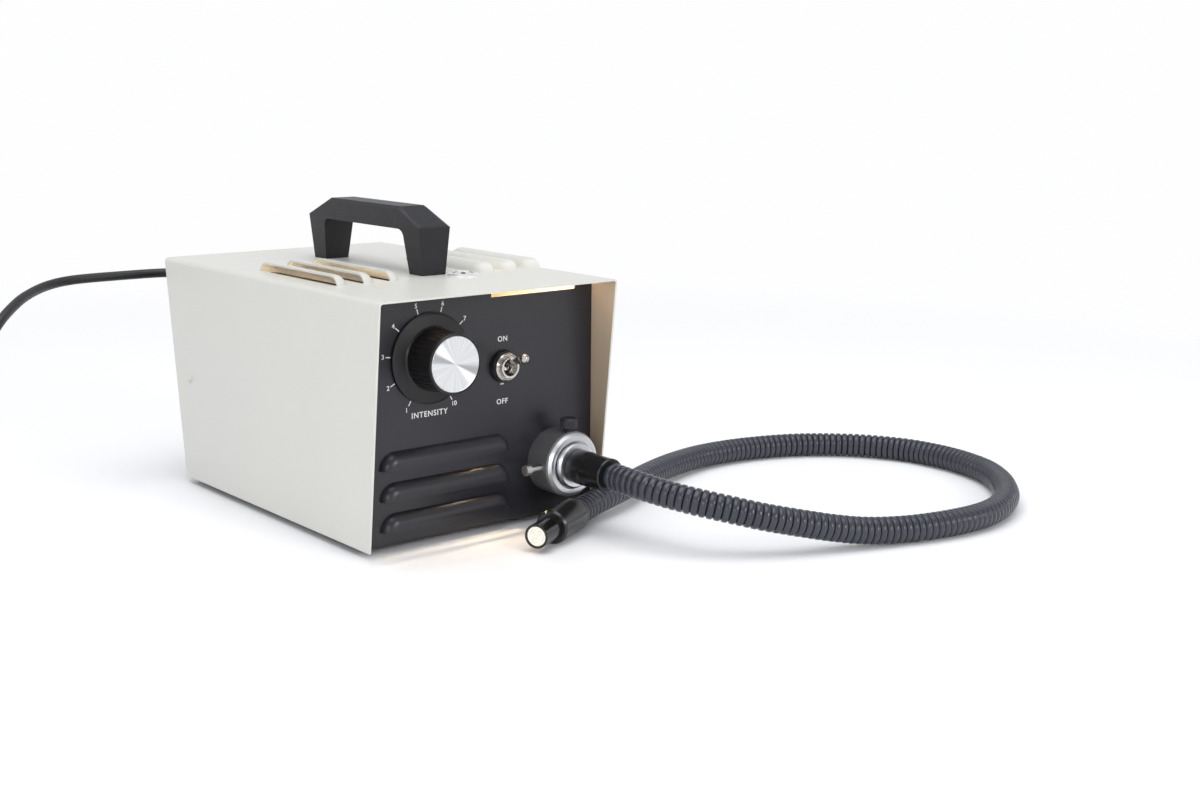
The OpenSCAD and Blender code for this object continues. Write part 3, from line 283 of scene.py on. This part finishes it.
def walk(line):
    """A function that gives the point and the direction at a length along a line."""
    reach = [0.0]
    for a, b in zip(line, line[1:]):
        reach.append(reach[-1] + (b - a).length)

    def at(s):
        s = min(max(s, 0), reach[-1])
        i = max(k for k in range(len(line) - 1) if reach[k] <= s)
        return line[i].lerp(line[i + 1], (s - reach[i]) / (reach[i + 1] - reach[i]))

    return lambda s: (at(s), (at(s + 0.002) - at(s - 0.002)).normalized())


def swept(name, sections, sides):
    """A closed mesh skin through rings, given as (middle, direction, radius, how deep in a groove)."""
    points = []
    depths = []
    for middle, way, radius, depth in sections:
        depths += [depth] * sides
        side = way.cross(Vector((0, 0, 1))).normalized()
        over = side.cross(way)
        for j in range(sides):
            turn = 2 * math.pi * j / sides
            points.append(middle + radius * (math.cos(turn) * side + math.sin(turn) * over))
    faces = []
    for i in range(len(sections) - 1):
        for j in range(sides):
            k = (j + 1) % sides
            faces.append((i * sides + j, (i + 1) * sides + j, (i + 1) * sides + k, i * sides + k))
    mesh = bpy.data.meshes.new(name)
    mesh.from_pydata(points, [], faces)
    mesh.attributes.new("groove", "FLOAT", "POINT").data.foreach_set("value", depths)
    mesh.validate()
    made = bpy.data.objects.new(name, mesh)
    bpy.context.scene.collection.objects.link(made)
    return made


def alone(piece):
    """Selects one piece and nothing else."""
    bpy.ops.object.select_all(action="DESELECT")
    piece.select_set(True)
    bpy.context.view_layer.objects.active = piece


def faces_out(piece):
    """Merges what meets in a piece and turns its faces outwards."""
    alone(piece)
    bpy.ops.object.mode_set(mode="EDIT")
    bpy.ops.mesh.select_all(action="SELECT")
    bpy.ops.mesh.remove_doubles(threshold=0.000005)
    bpy.ops.mesh.normals_make_consistent(inside=False)
    bpy.ops.object.mode_set(mode="OBJECT")


hose_at = walk(hose_line)
plain_end = 0.0015
pitch = (hose_length - 2 * plain_end) / hose_ribs
hose_rings = [(0.0, groove_size)]
for rib in range(hose_ribs):
    for share, size in rib_shape:
        hose_rings.append((plain_end + (rib + share) * pitch, size))
hose_rings.append((hose_length, groove_size))
sections = [(*hose_at(s), hose_r * size, (1 - size) / (1 - groove_size)) for s, size in hose_rings]
bore_rings = [(*hose_at(hose_length * (1 - i / 80)), hose_bore_r, 1) for i in range(81)]
sections = sections + bore_rings + [sections[0]]
hose = swept("hose", sections, hose_sides)
faces_out(hose)
bpy.ops.object.shade_smooth_by_angle(angle=math.radians(50))

skin = Finish("hose skin")
blue_black = skin.tint(skin.noise(0.02, detail=4), (0.028, 0.031, 0.042, 1), (0.044, 0.047, 0.064, 1))
# Painted shade: the skin is painted darker towards the bottom of each groove between the ribs.
painted_groove_shade = (0.009, 0.010, 0.013, 1)
groove = skin.node("ShaderNodeAttribute", {"attribute_name": "groove"}, output="Fac")
skin.feed("Base Color", skin.tint(skin.step(groove, 0.45, 1.0), blue_black, painted_groove_shade))
skin.feed("Roughness", 0.14 + 0.10 * skin.noise(0.003, detail=3))
skin.bump(skin.noise(0.0007, detail=2), 0.00005)
hose.data.materials.append(skin.material)
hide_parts("guide_hose")
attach(hose, "light_guide")


# ---- Bench and light ----
# A white sweep with soft light from a big panel above and three more at the sides. The bench
# fades into the same white as the room's walls, and keeps the shadow of the object. The room
# is darker towards its ceiling, which gives the black paint and the metal their shading.

backdrop = (0.990, 0.992, 1.0, 1)
bpy.ops.object.select_all(action="DESELECT")
bpy.ops.mesh.primitive_plane_add(size=16, location=(0, 0, 0))
bench = bpy.context.active_object
bench.name = "bench"
sweep = Finish("sweep", base_color=(0.95, 0.955, 0.97, 1), roughness=0.6, specular_ior_level=0.2)
far = sweep.node("ShaderNodeVectorMath", {"operation": "LENGTH"}, {0: sweep.place()}, output="Value")
shine = sweep.node("ShaderNodeEmission", sockets={"Color": backdrop, "Strength": 1.0})
mixed = sweep.node("ShaderNodeMixShader", sockets={
    0: sweep.step(far, 0.35, 1.1), 1: Signal(sweep, sweep.shader.outputs[0]), 2: shine})
sweep.link(mixed, sweep.nodes["Material Output"].inputs["Surface"])
bench.data.materials.append(sweep.material)

world = bpy.data.worlds.new("white room")
bpy.context.scene.world = world
world.use_nodes = True
tree = world.node_tree
room = tree.nodes["Background"]
room.inputs["Strength"].default_value = 1.0
way = tree.nodes.new("ShaderNodeTexCoord")
rise = tree.nodes.new("ShaderNodeSeparateXYZ")
walls = tree.nodes.new("ShaderNodeValToRGB")
walls.color_ramp.elements[0].position = 0.10
walls.color_ramp.elements[0].color = backdrop
walls.color_ramp.elements[1].position = 0.50
walls.color_ramp.elements[1].color = (0.50, 0.51, 0.54, 1)
tree.links.new(way.outputs["Generated"], rise.inputs[0])
tree.links.new(rise.outputs[2], walls.inputs[0])
tree.links.new(walls.outputs[0], room.inputs["Color"])


def light_panel(name, place, aim, size, power, colour):
    """A soft square lamp at a place, turned towards its aim."""
    lamp = bpy.data.lights.new(name, "AREA")
    lamp.size = size
    lamp.energy = power
    lamp.color = colour
    made = bpy.data.objects.new(name, lamp)
    made.location = place
    made.rotation_euler = (Vector(aim) - Vector(place)).to_track_quat("-Z", "Y").to_euler()
    bpy.context.scene.collection.objects.link(made)


light_panel("top panel", (-0.1, -0.1, 1.9), (0, -0.05, 0), 1.8, 24, (1.0, 1.0, 1.0))
light_panel("left panel", (-1.7, -0.6, 1.0), (0, 0, 0.08), 1.0, 3.0, (0.98, 0.99, 1.0))
light_panel("left strip", (-1.0, -1.1, 0.45), (0, -0.1, 0.06), 0.2, 1.8, (1.0, 1.0, 1.0))
light_panel("front panel", (0.4, -1.9, 0.8), (0, -0.1, 0.06), 0.6, 9, (1.0, 0.99, 0.97))


# ---- Lamp light ----
# The halogen lamp's warm light fills the housing. It leaks out of the vents and the louvres, of
# the notch above the panel and from under the front edge on to the bench.


def glow(name, place, radius, power, colour):
    """A small warm lamp at a place."""
    lamp = bpy.data.lights.new(name, "POINT")
    lamp.shadow_soft_size = radius
    lamp.energy = power
    lamp.color = colour
    made = bpy.data.objects.new(name, lamp)
    made.location = place
    bpy.context.scene.collection.objects.link(made)


glow("lamp glow", (-0.012, -0.060, 0.080), 0.012, 0.42, (1.0, 0.76, 0.46))
glow("lamp glow right", (0.040, -0.070, 0.118), 0.006, 0.26, (1.0, 0.86, 0.60))
glow("panel glow", (0.009, -0.0930, 0.0585), 0.005, 0.10, (1.0, 0.72, 0.45))

# ---- Cover ----
# One U of 1.2 mm sheet steel, powder coated in warm off-white with a faint orange peel. The
# vents are pressed in its top. Its inside is painted tan, partly as a primer coat and partly as
# painted shade and warm lamp light, and paler towards the top as a painted glow from the notch.


def dress(finish, *nodes):
    """Gives CAD pieces their finish."""
    for node in nodes:
        piece = bpy.data.objects[node]
        piece.data.materials.clear()
        piece.data.materials.append(finish.material)


# The sheet's inner faces lie within these, and its outer faces and its edges past them
inner_face_x = 0.0789
inner_face_z = 0.1389
enamel = Finish("cover enamel")
off_white = enamel.tint(enamel.noise(0.06, detail=4), (0.635, 0.633, 0.590, 1), (0.660, 0.657, 0.615, 1))
primer_and_painted_shade = enamel.tint(enamel.noise(0.03, detail=4), (0.50, 0.40, 0.29, 1), (0.44, 0.35, 0.26, 1))
painted_glow_primer = (0.64, 0.53, 0.41, 1)
across = enamel.along("X")
level = enamel.along("Z")
inner = (across.math("ABSOLUTE", across) < inner_face_x) * (level < inner_face_z)
# Painted light: the inside is painted paler towards the top, as warm lamp light from the notch.
primer_and_painted_glow = enamel.tint(enamel.step(level, 0.085, 0.145), primer_and_painted_shade, painted_glow_primer)
enamel.feed("Base Color", enamel.tint(inner, off_white, primer_and_painted_glow))
enamel.feed("Roughness", 0.34 + 0.10 * enamel.noise(0.01, detail=3))
enamel.bump(enamel.noise(0.0011, detail=2), 0.00004)
dress(enamel, "cover", "cover_screws")

# ---- Panel and chassis ----
# The front panel, floor and rear panel are one folded steel sheet, stoved in satin black. Three
# louvres are pressed in its front, and the cover is screwed to the flanges at its rear.

stove = Finish("satin black")
stove.feed("Base Color", stove.tint(stove.noise(0.03, detail=3), grey(0.013, 0.35), grey(0.018, 0.35)))
stove.feed("Roughness", 0.29 + 0.08 * stove.noise(0.006, detail=3))
stove.bump(stove.noise(0.0008, detail=1), 0.000006)
dress(stove, "chassis")

# ---- Printing on the panel ----
# White screen printing: ten ticks and numerals round the dial, the names of the controls, and a
# short line below the switch.

ink = Finish("white printing", base_color=grey(0.72))
ink.feed("Roughness", 0.5 + 0.15 * ink.noise(0.001))
panel_face = -0.0995
knob_at = Vector((-0.035, 0, 0.1037))
ink_h = 0.00006
tick_l = 0.003
tick_r = 0.0269
numeral_h = 0.0026
numeral_r = 0.0301
end_numeral_r = 0.0310
letter_size = 1.37
letter_gap = 1.14
bolder = 0.00006
line_w = 0.0006


def mark_angle(number):
    """The direction of a dial mark, seen from the front: 0 to the right, and up from there."""
    return math.radians(240 - (number - 1) * 33.333)


# Each word with its middle's x and z and its height, and each line with its angle and length
words = [
    ("INTENSITY", -0.0357, 0.0732, 0.0032),
    ("ON", 0.0138, 0.1092, 0.0030),
    ("OFF", 0.0134, 0.0737, 0.0030)]
lines = [(0.0134, 0.0838, 0, 0.0024)]
for number in range(1, 11):
    angle = mark_angle(number)
    out = Vector((math.cos(angle), 0, math.sin(angle)))
    numeral = knob_at + out * (end_numeral_r if number in (1, 10) else numeral_r)
    tick = knob_at + out * tick_r
    words.append((str(number), numeral.x, numeral.z, numeral_h))
    lines.append((tick.x, tick.z, angle, tick_l))
prints = []
for word, x, z, height in words:
    letters = bpy.data.curves.new("letters", "FONT")
    letters.body = word
    letters.size = height * letter_size
    letters.align_x = "CENTER"
    letters.align_y = "CENTER"
    letters.extrude = ink_h / 2
    letters.offset = bolder
    letters.space_character = 1.0 if word.isdigit() else letter_gap
    made = bpy.data.objects.new("printed_" + word, letters)
    bpy.context.scene.collection.objects.link(made)
    alone(made)
    bpy.ops.object.convert(target="MESH")
    made = bpy.context.active_object
    made.location = (x, panel_face - ink_h / 2, z)
    made.rotation_euler = (math.radians(90), 0, 0)
    prints.append(made)
for x, z, angle, run in lines:
    bpy.ops.object.select_all(action="DESELECT")
    bpy.ops.mesh.primitive_cube_add(
        size=1, location=(x, panel_face - ink_h / 2, z), rotation=(0, -angle, 0), scale=(run, ink_h, line_w))
    prints.append(bpy.context.active_object)
bpy.ops.object.select_all(action="DESELECT")
for made in prints:
    made.select_set(True)
bpy.context.view_layer.objects.active = prints[0]
bpy.ops.object.transform_apply(location=True, rotation=True, scale=True)
bpy.ops.object.join()
printing = bpy.context.active_object
printing.name = "printing"
printing.data.materials.append(ink.material)
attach(printing, "lamp_house")

# ---- Handle ----
# Moulded in black nylon with a fine eroded texture, and held by a screw up through each leg. The
# fan, the fuse holder, the strain relief and the tie of the lead are moulded in nylon too.

nylon = Finish("black nylon", specular_ior_level=0.32)
nylon.feed("Base Color", nylon.tint(nylon.noise(0.02, detail=3), grey(0.012, 0.2), grey(0.017, 0.2)))
nylon.feed("Roughness", 0.34 + 0.14 * nylon.noise(0.004, detail=3))
nylon.bump(nylon.noise(0.0006, detail=3), 0.00006)
dress(nylon, "handle", "fuse_holder", "fuse_cap", "fan_frame", "fan_rotor", "strain_relief", "coil_tie")

# ---- Knob ----
# A fluted black phenolic knob with a round skirt, held on its shaft by a set screw. The disc in
# its face is spun aluminium, with a painted highlight in two wedges, painted shade in two more
# and painted streaks of sheen round it.

moulding = Finish("knob moulding", base_color=grey(0.010, 0.15), specular_ior_level=0.38)
moulding.feed("Roughness", 0.30 + 0.12 * moulding.noise(0.003))
dress(moulding, "knob", "toggle_washer")

# The disc's sheen is painted: the white wedges are a painted highlight, the grey ones painted shade.
painted_highlight_angle = math.radians(139)
painted_shade_angle = math.radians(157)
spun = Finish("spun aluminium", metallic=1.0, roughness=0.30)
disc_x = spun.along("X") - knob_at.x
disc_z = spun.along("Z") - knob_at.z
radius = (disc_x * disc_x + disc_z * disc_z) ** 0.5
around = disc_z.math("ARCTAN2", disc_z, disc_x)
painted_highlight_wedge = spun.step(around.math("COSINE", 2 * (around - painted_highlight_angle)), 0.84, 1.0)
painted_shade_wedge = spun.step(around.math("COSINE", 2 * (around - painted_shade_angle)), 0.76, 1.0)
fine = spun.node("ShaderNodeTexNoise", {"noise_dimensions": "1D"}, {"W": radius, "Scale": 9000.0})
# Painted sheen: lighter and darker streaks round the disc.
painted_streak_sheen = spun.node("ShaderNodeTexNoise", {"noise_dimensions": "1D"}, {"W": around, "Scale": 7.0})
plain = spun.tint(spun.step(painted_streak_sheen, 0.3, 0.7), (0.66, 0.67, 0.68, 1), (0.76, 0.77, 0.78, 1))
darker = spun.tint(painted_shade_wedge, plain, (0.42, 0.42, 0.43, 1))
spun.feed("Base Color", spun.tint(painted_highlight_wedge, darker, (1.0, 1.0, 1.0, 1)))
spun.bump(fine, 0.00002)
dress(spun, "knob_cap")

# The white index line on the skirt, with the knob set to dial mark 9
skirt_face = -0.10577
skirt_slope = math.atan2(1.0, 5.7)
index_r = 0.0215
index_size = (0.0045, 0.0004, 0.0007)
bpy.ops.object.select_all(action="DESELECT")
bpy.ops.mesh.primitive_cube_add(size=1, location=(index_r, 0, 0), scale=index_size)
index = bpy.context.active_object
index.name = "knob_index"
bpy.ops.object.transform_apply(location=True, rotation=True, scale=True)
index.rotation_euler = (0, 0, skirt_slope)
bpy.ops.object.transform_apply(location=True, rotation=True, scale=True)
index.rotation_euler = (0, -mark_angle(9), 0)
index.location = (knob_at.x, skirt_face, knob_at.z)
bpy.ops.object.transform_apply(location=True, rotation=True, scale=True)
index.data.materials.append(ink.material)
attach(index, "intensity_knob")

# ---- Switch ----
# A nickel-plated toggle lever in a round dress nut, which clamps the switch from outside. Its
# black washer has the knob's moulding.

plate = Finish("nickel plate", base_color=(0.50, 0.48, 0.45, 1), metallic=1.0)
plate.feed("Roughness", 0.12 + 0.12 * plate.noise(0.002, detail=3))
dress(plate, "toggle_nut", "toggle_lever")

# ---- Vent plug ----
# A bright domed steel plug with five slots, pushed into a hole in the cover's top. The insides
# of the slots are painted dark, as painted shade.

vent_at = Vector((0.0163, -0.0588, 0.140))
dome_top = 0.0032
dome_r = 0.0139
slots_r = 0.0064
slot_edge = 0.00015
chrome = Finish("bright dome", metallic=0.6)
chrome.feed("Roughness", 0.10 + 0.10 * chrome.noise(0.002, detail=3))
vent_x = chrome.along("X") - vent_at.x
vent_y = chrome.along("Y") - vent_at.y
outwards = vent_x * vent_x + vent_y * vent_y
dome_level = vent_at.z + dome_top - slot_edge - outwards / (2 * dome_r)
# Painted shade: inside the slots, the bright steel is painted near black.
painted_slot_shade = (chrome.along("Z") < dome_level) * (outwards < slots_r ** 2)
chrome.feed("Base Color", chrome.tint(painted_slot_shade, (0.90, 0.90, 0.89, 1), (0.03, 0.03, 0.03, 1)))
dress(chrome, "vent_plug")

# ---- Light port ----
# A black-anodised collar with a bright ring, a thumbscrew above it and a cap screw at its side,
# which clamp the guide's turned end piece. The small steel parts of the unit are zinc plated.

anodised = Finish("black anodising", base_color=grey(0.19, 0.06), metallic=0.6)
anodised.feed("Roughness", 0.28 + 0.12 * anodised.noise(0.003))
dress(anodised, "port_collar")
blackened = Finish("blackened steel", base_color=grey(0.035, 0.2), metallic=0.5)
blackened.feed("Roughness", 0.30 + 0.12 * blackened.noise(0.002))
dress(blackened, "thumbscrew")
turned = Finish("turned aluminium", base_color=(0.74, 0.75, 0.77, 1), metallic=1.0)
turned.feed("Roughness", 0.24 + 0.12 * turned.noise(0.002, detail=3))
dress(turned, "port_ring", "guide_end", "pot_shaft")
zinc = Finish("zinc plate", base_color=(0.60, 0.60, 0.59, 1), metallic=1.0)
zinc.feed("Roughness", 0.26 + 0.2 * zinc.noise(0.002, detail=3))
dress(zinc, "port_screw", "port_nut", "knob_set_screw", "handle_screws", "lamp_bracket", "transformer_strap",
      "fan_guard", "fan_screws", "board_spacers", "floor_screws")

# ---- Sleeves and tip of the guide ----
# Smooth black PVC sleeves grip the two ends of the hose. The black tube at the tip holds the
# polished ends of the fibres, which are lit.

sleeve = Finish("smooth sleeve", base_color=grey(0.010, 0.1))
sleeve.feed("Roughness", 0.22 + 0.06 * sleeve.noise(0.004))
dress(sleeve, "guide_sleeve", "tip_sleeve")
tube_black = Finish("glossy tube", base_color=grey(0.006))
tube_black.feed("Roughness", 0.08 + 0.12 * tube_black.noise(0.003))
dress(tube_black, "tip_tube")
lit = Finish("lit fibre ends", base_color=(0.20, 0.20, 0.18, 1), roughness=0.2, emission_strength=0.9)
ends_seen = lit.node("ShaderNodeTexVoronoi", sockets={"Vector": lit.place(), "Scale": 1500.0})
lit.feed("Emission Color", lit.tint(
    lit.step(ends_seen, 0.25, 0.7), (1.0, 0.97, 0.86, 1), (0.72, 0.69, 0.58, 1)))
dress(lit, "tip_face")

# ---- Lamp and light path ----
# A quartz halogen capsule in a dichroic glass reflector behind a heat filter, with a ceramic
# socket. The glass fibres of the guide show as fine dots at their polished ends.

capsule = Finish("lit quartz", base_color=(0.95, 0.93, 0.88, 1), emission_color=(1.0, 0.72, 0.38, 1),
                 emission_strength=4.0)
capsule.feed("Roughness", 0.06 + 0.1 * capsule.noise(0.003))
dress(capsule, "lamp_capsule")
dichroic = Finish("dichroic reflector", metallic=1.0, roughness=0.12)
dichroic.feed("Base Color", dichroic.tint(
    dichroic.noise(0.012), (0.84, 0.80, 0.86, 1), (0.72, 0.86, 0.84, 1)))
facets = dichroic.node("ShaderNodeTexVoronoi", sockets={"Vector": dichroic.place(), "Scale": 260.0})
dichroic.bump(facets, 0.0002)
dress(dichroic, "lamp_reflector")
filter_glass = Finish("heat filter glass", base_color=(0.72, 0.90, 0.90, 1), transmission_weight=0.85)
filter_glass.feed("Roughness", 0.03 + 0.05 * filter_glass.noise(0.005))
dress(filter_glass, "heat_filter")
ceramic = Finish("socket ceramic", roughness=0.55)
ceramic.feed("Base Color", ceramic.tint(
    ceramic.noise(0.004, detail=4), (0.74, 0.71, 0.64, 1), (0.84, 0.82, 0.77, 1)))
ceramic.bump(ceramic.noise(0.0005), 0.00004)
dress(ceramic, "lamp_socket")
fibres = Finish("glass fibres", roughness=0.25)
dots = fibres.node("ShaderNodeTexVoronoi", sockets={"Vector": fibres.place(), "Scale": 2600.0})
fibres.feed("Base Color", fibres.tint(
    fibres.step(dots, 0.2, 0.6), (0.90, 0.90, 0.84, 1), (0.30, 0.30, 0.28, 1)))
dress(fibres, "fibre_bundle")

# ---- Transformer ----
# A stack of varnished laminations with a winding of enamelled copper, which a zinc-plated strap
# holds to the floor.

iron = Finish("laminated iron", metallic=0.7, roughness=0.5)
sheets = iron.node("ShaderNodeTexWave", {"bands_direction": "Y"}, {
    "Vector": iron.place(), "Scale": 320.0, "Distortion": 0.4, "Detail": 2.0})
iron.feed("Base Color", iron.tint(sheets, (0.11, 0.11, 0.12, 1), (0.23, 0.23, 0.24, 1)))
iron.bump(sheets, 0.0001)
dress(iron, "transformer_core")
winding = Finish("copper winding", metallic=0.8, roughness=0.35)
turns = winding.node("ShaderNodeTexWave", {"bands_direction": "Z"}, {
    "Vector": winding.place(), "Scale": 200.0, "Distortion": 0.6, "Detail": 2.0})
winding.feed("Base Color", winding.tint(turns, (0.24, 0.09, 0.035, 1), (0.62, 0.30, 0.14, 1)))
winding.bump(turns, 0.0003)
dress(winding, "transformer_coil")

# ---- Board, potentiometer and fuse ----
# A green glass epoxy board with its heat sink, a blue and a black capacitor and a choke, a
# brass-cased potentiometer, the switch's phenolic case and a glass fuse with plated ends.

epoxy = Finish("green board", roughness=0.3)
tracks = epoxy.node("ShaderNodeTexVoronoi", {"distance": "CHEBYCHEV", "feature": "F1"}, {
    "Vector": epoxy.place(), "Scale": 190.0})
epoxy.feed("Base Color", epoxy.tint(
    epoxy.step(tracks, 0.42, 0.46), (0.03, 0.15, 0.06, 1), (0.05, 0.24, 0.10, 1)))
dress(epoxy, "dimmer_board")
heat_sink_top = 0.095
small_capacitor_edge = -0.051
components = Finish("components")
height = components.along("Z")
sleeve_colour = components.tint(
    components.along("X") > small_capacitor_edge, (0.05, 0.10, 0.30, 1), (0.02, 0.02, 0.025, 1))
components.feed("Base Color", components.tint(height > heat_sink_top, (0.42, 0.43, 0.45, 1), sleeve_colour))
components.feed("Metallic", (height < heat_sink_top) * 0.9)
components.feed("Roughness", 0.34 + 0.2 * components.noise(0.003))
dress(components, "board_parts")
brass = Finish("plated brass", base_color=(0.68, 0.56, 0.33, 1), metallic=1.0)
brass.feed("Roughness", 0.26 + 0.2 * brass.noise(0.002, detail=3))
dress(brass, "pot_nut", "potentiometer")
bush_start = -0.0975
phenolic = Finish("switch case and bush")
bush = phenolic.along("Y") < bush_start
phenolic.feed("Base Color", phenolic.tint(bush, (0.10, 0.022, 0.012, 1), (0.62, 0.60, 0.57, 1)))
phenolic.feed("Metallic", bush * 1.0)
phenolic.feed("Roughness", 0.34 - 0.12 * bush)
dress(phenolic, "toggle_body")
fuse_glass = (0.0822, 0.0916)
soft_edge = 0.0001
tube = Finish("fuse glass and ends", roughness=0.12)
reach = tube.along("Y")
ends = (tube.step(reach, fuse_glass[1] - soft_edge, fuse_glass[1] + soft_edge)
        + tube.step(reach, fuse_glass[0] + soft_edge, fuse_glass[0] - soft_edge))
tube.feed("Base Color", tube.tint(ends, (0.80, 0.83, 0.82, 1), (0.72, 0.72, 0.70, 1)))
tube.feed("Metallic", ends)
dress(tube, "fuse")

# ---- Feet and plug ----
# Rubber feet under the floor, and a mains plug that is moulded in black PVC on the end of the
# lead, with brass pins.

rubber = Finish("foot rubber", base_color=grey(0.015))
rubber.feed("Roughness", 0.62 + 0.2 * rubber.noise(0.002))
rubber.bump(rubber.noise(0.0006), 0.00005)
dress(rubber, "feet")
pins_start = 0.14405
moulded = Finish("moulded plug")
pins = moulded.along("Y") > pins_start
moulded.feed("Base Color", moulded.tint(pins, (0.015, 0.015, 0.016, 1), (0.70, 0.56, 0.30, 1)))
moulded.feed("Metallic", pins * 1.0)
moulded.feed("Roughness", 0.42 - 0.18 * pins + 0.08 * moulded.noise(0.003))
dress(moulded, "mains_plug")
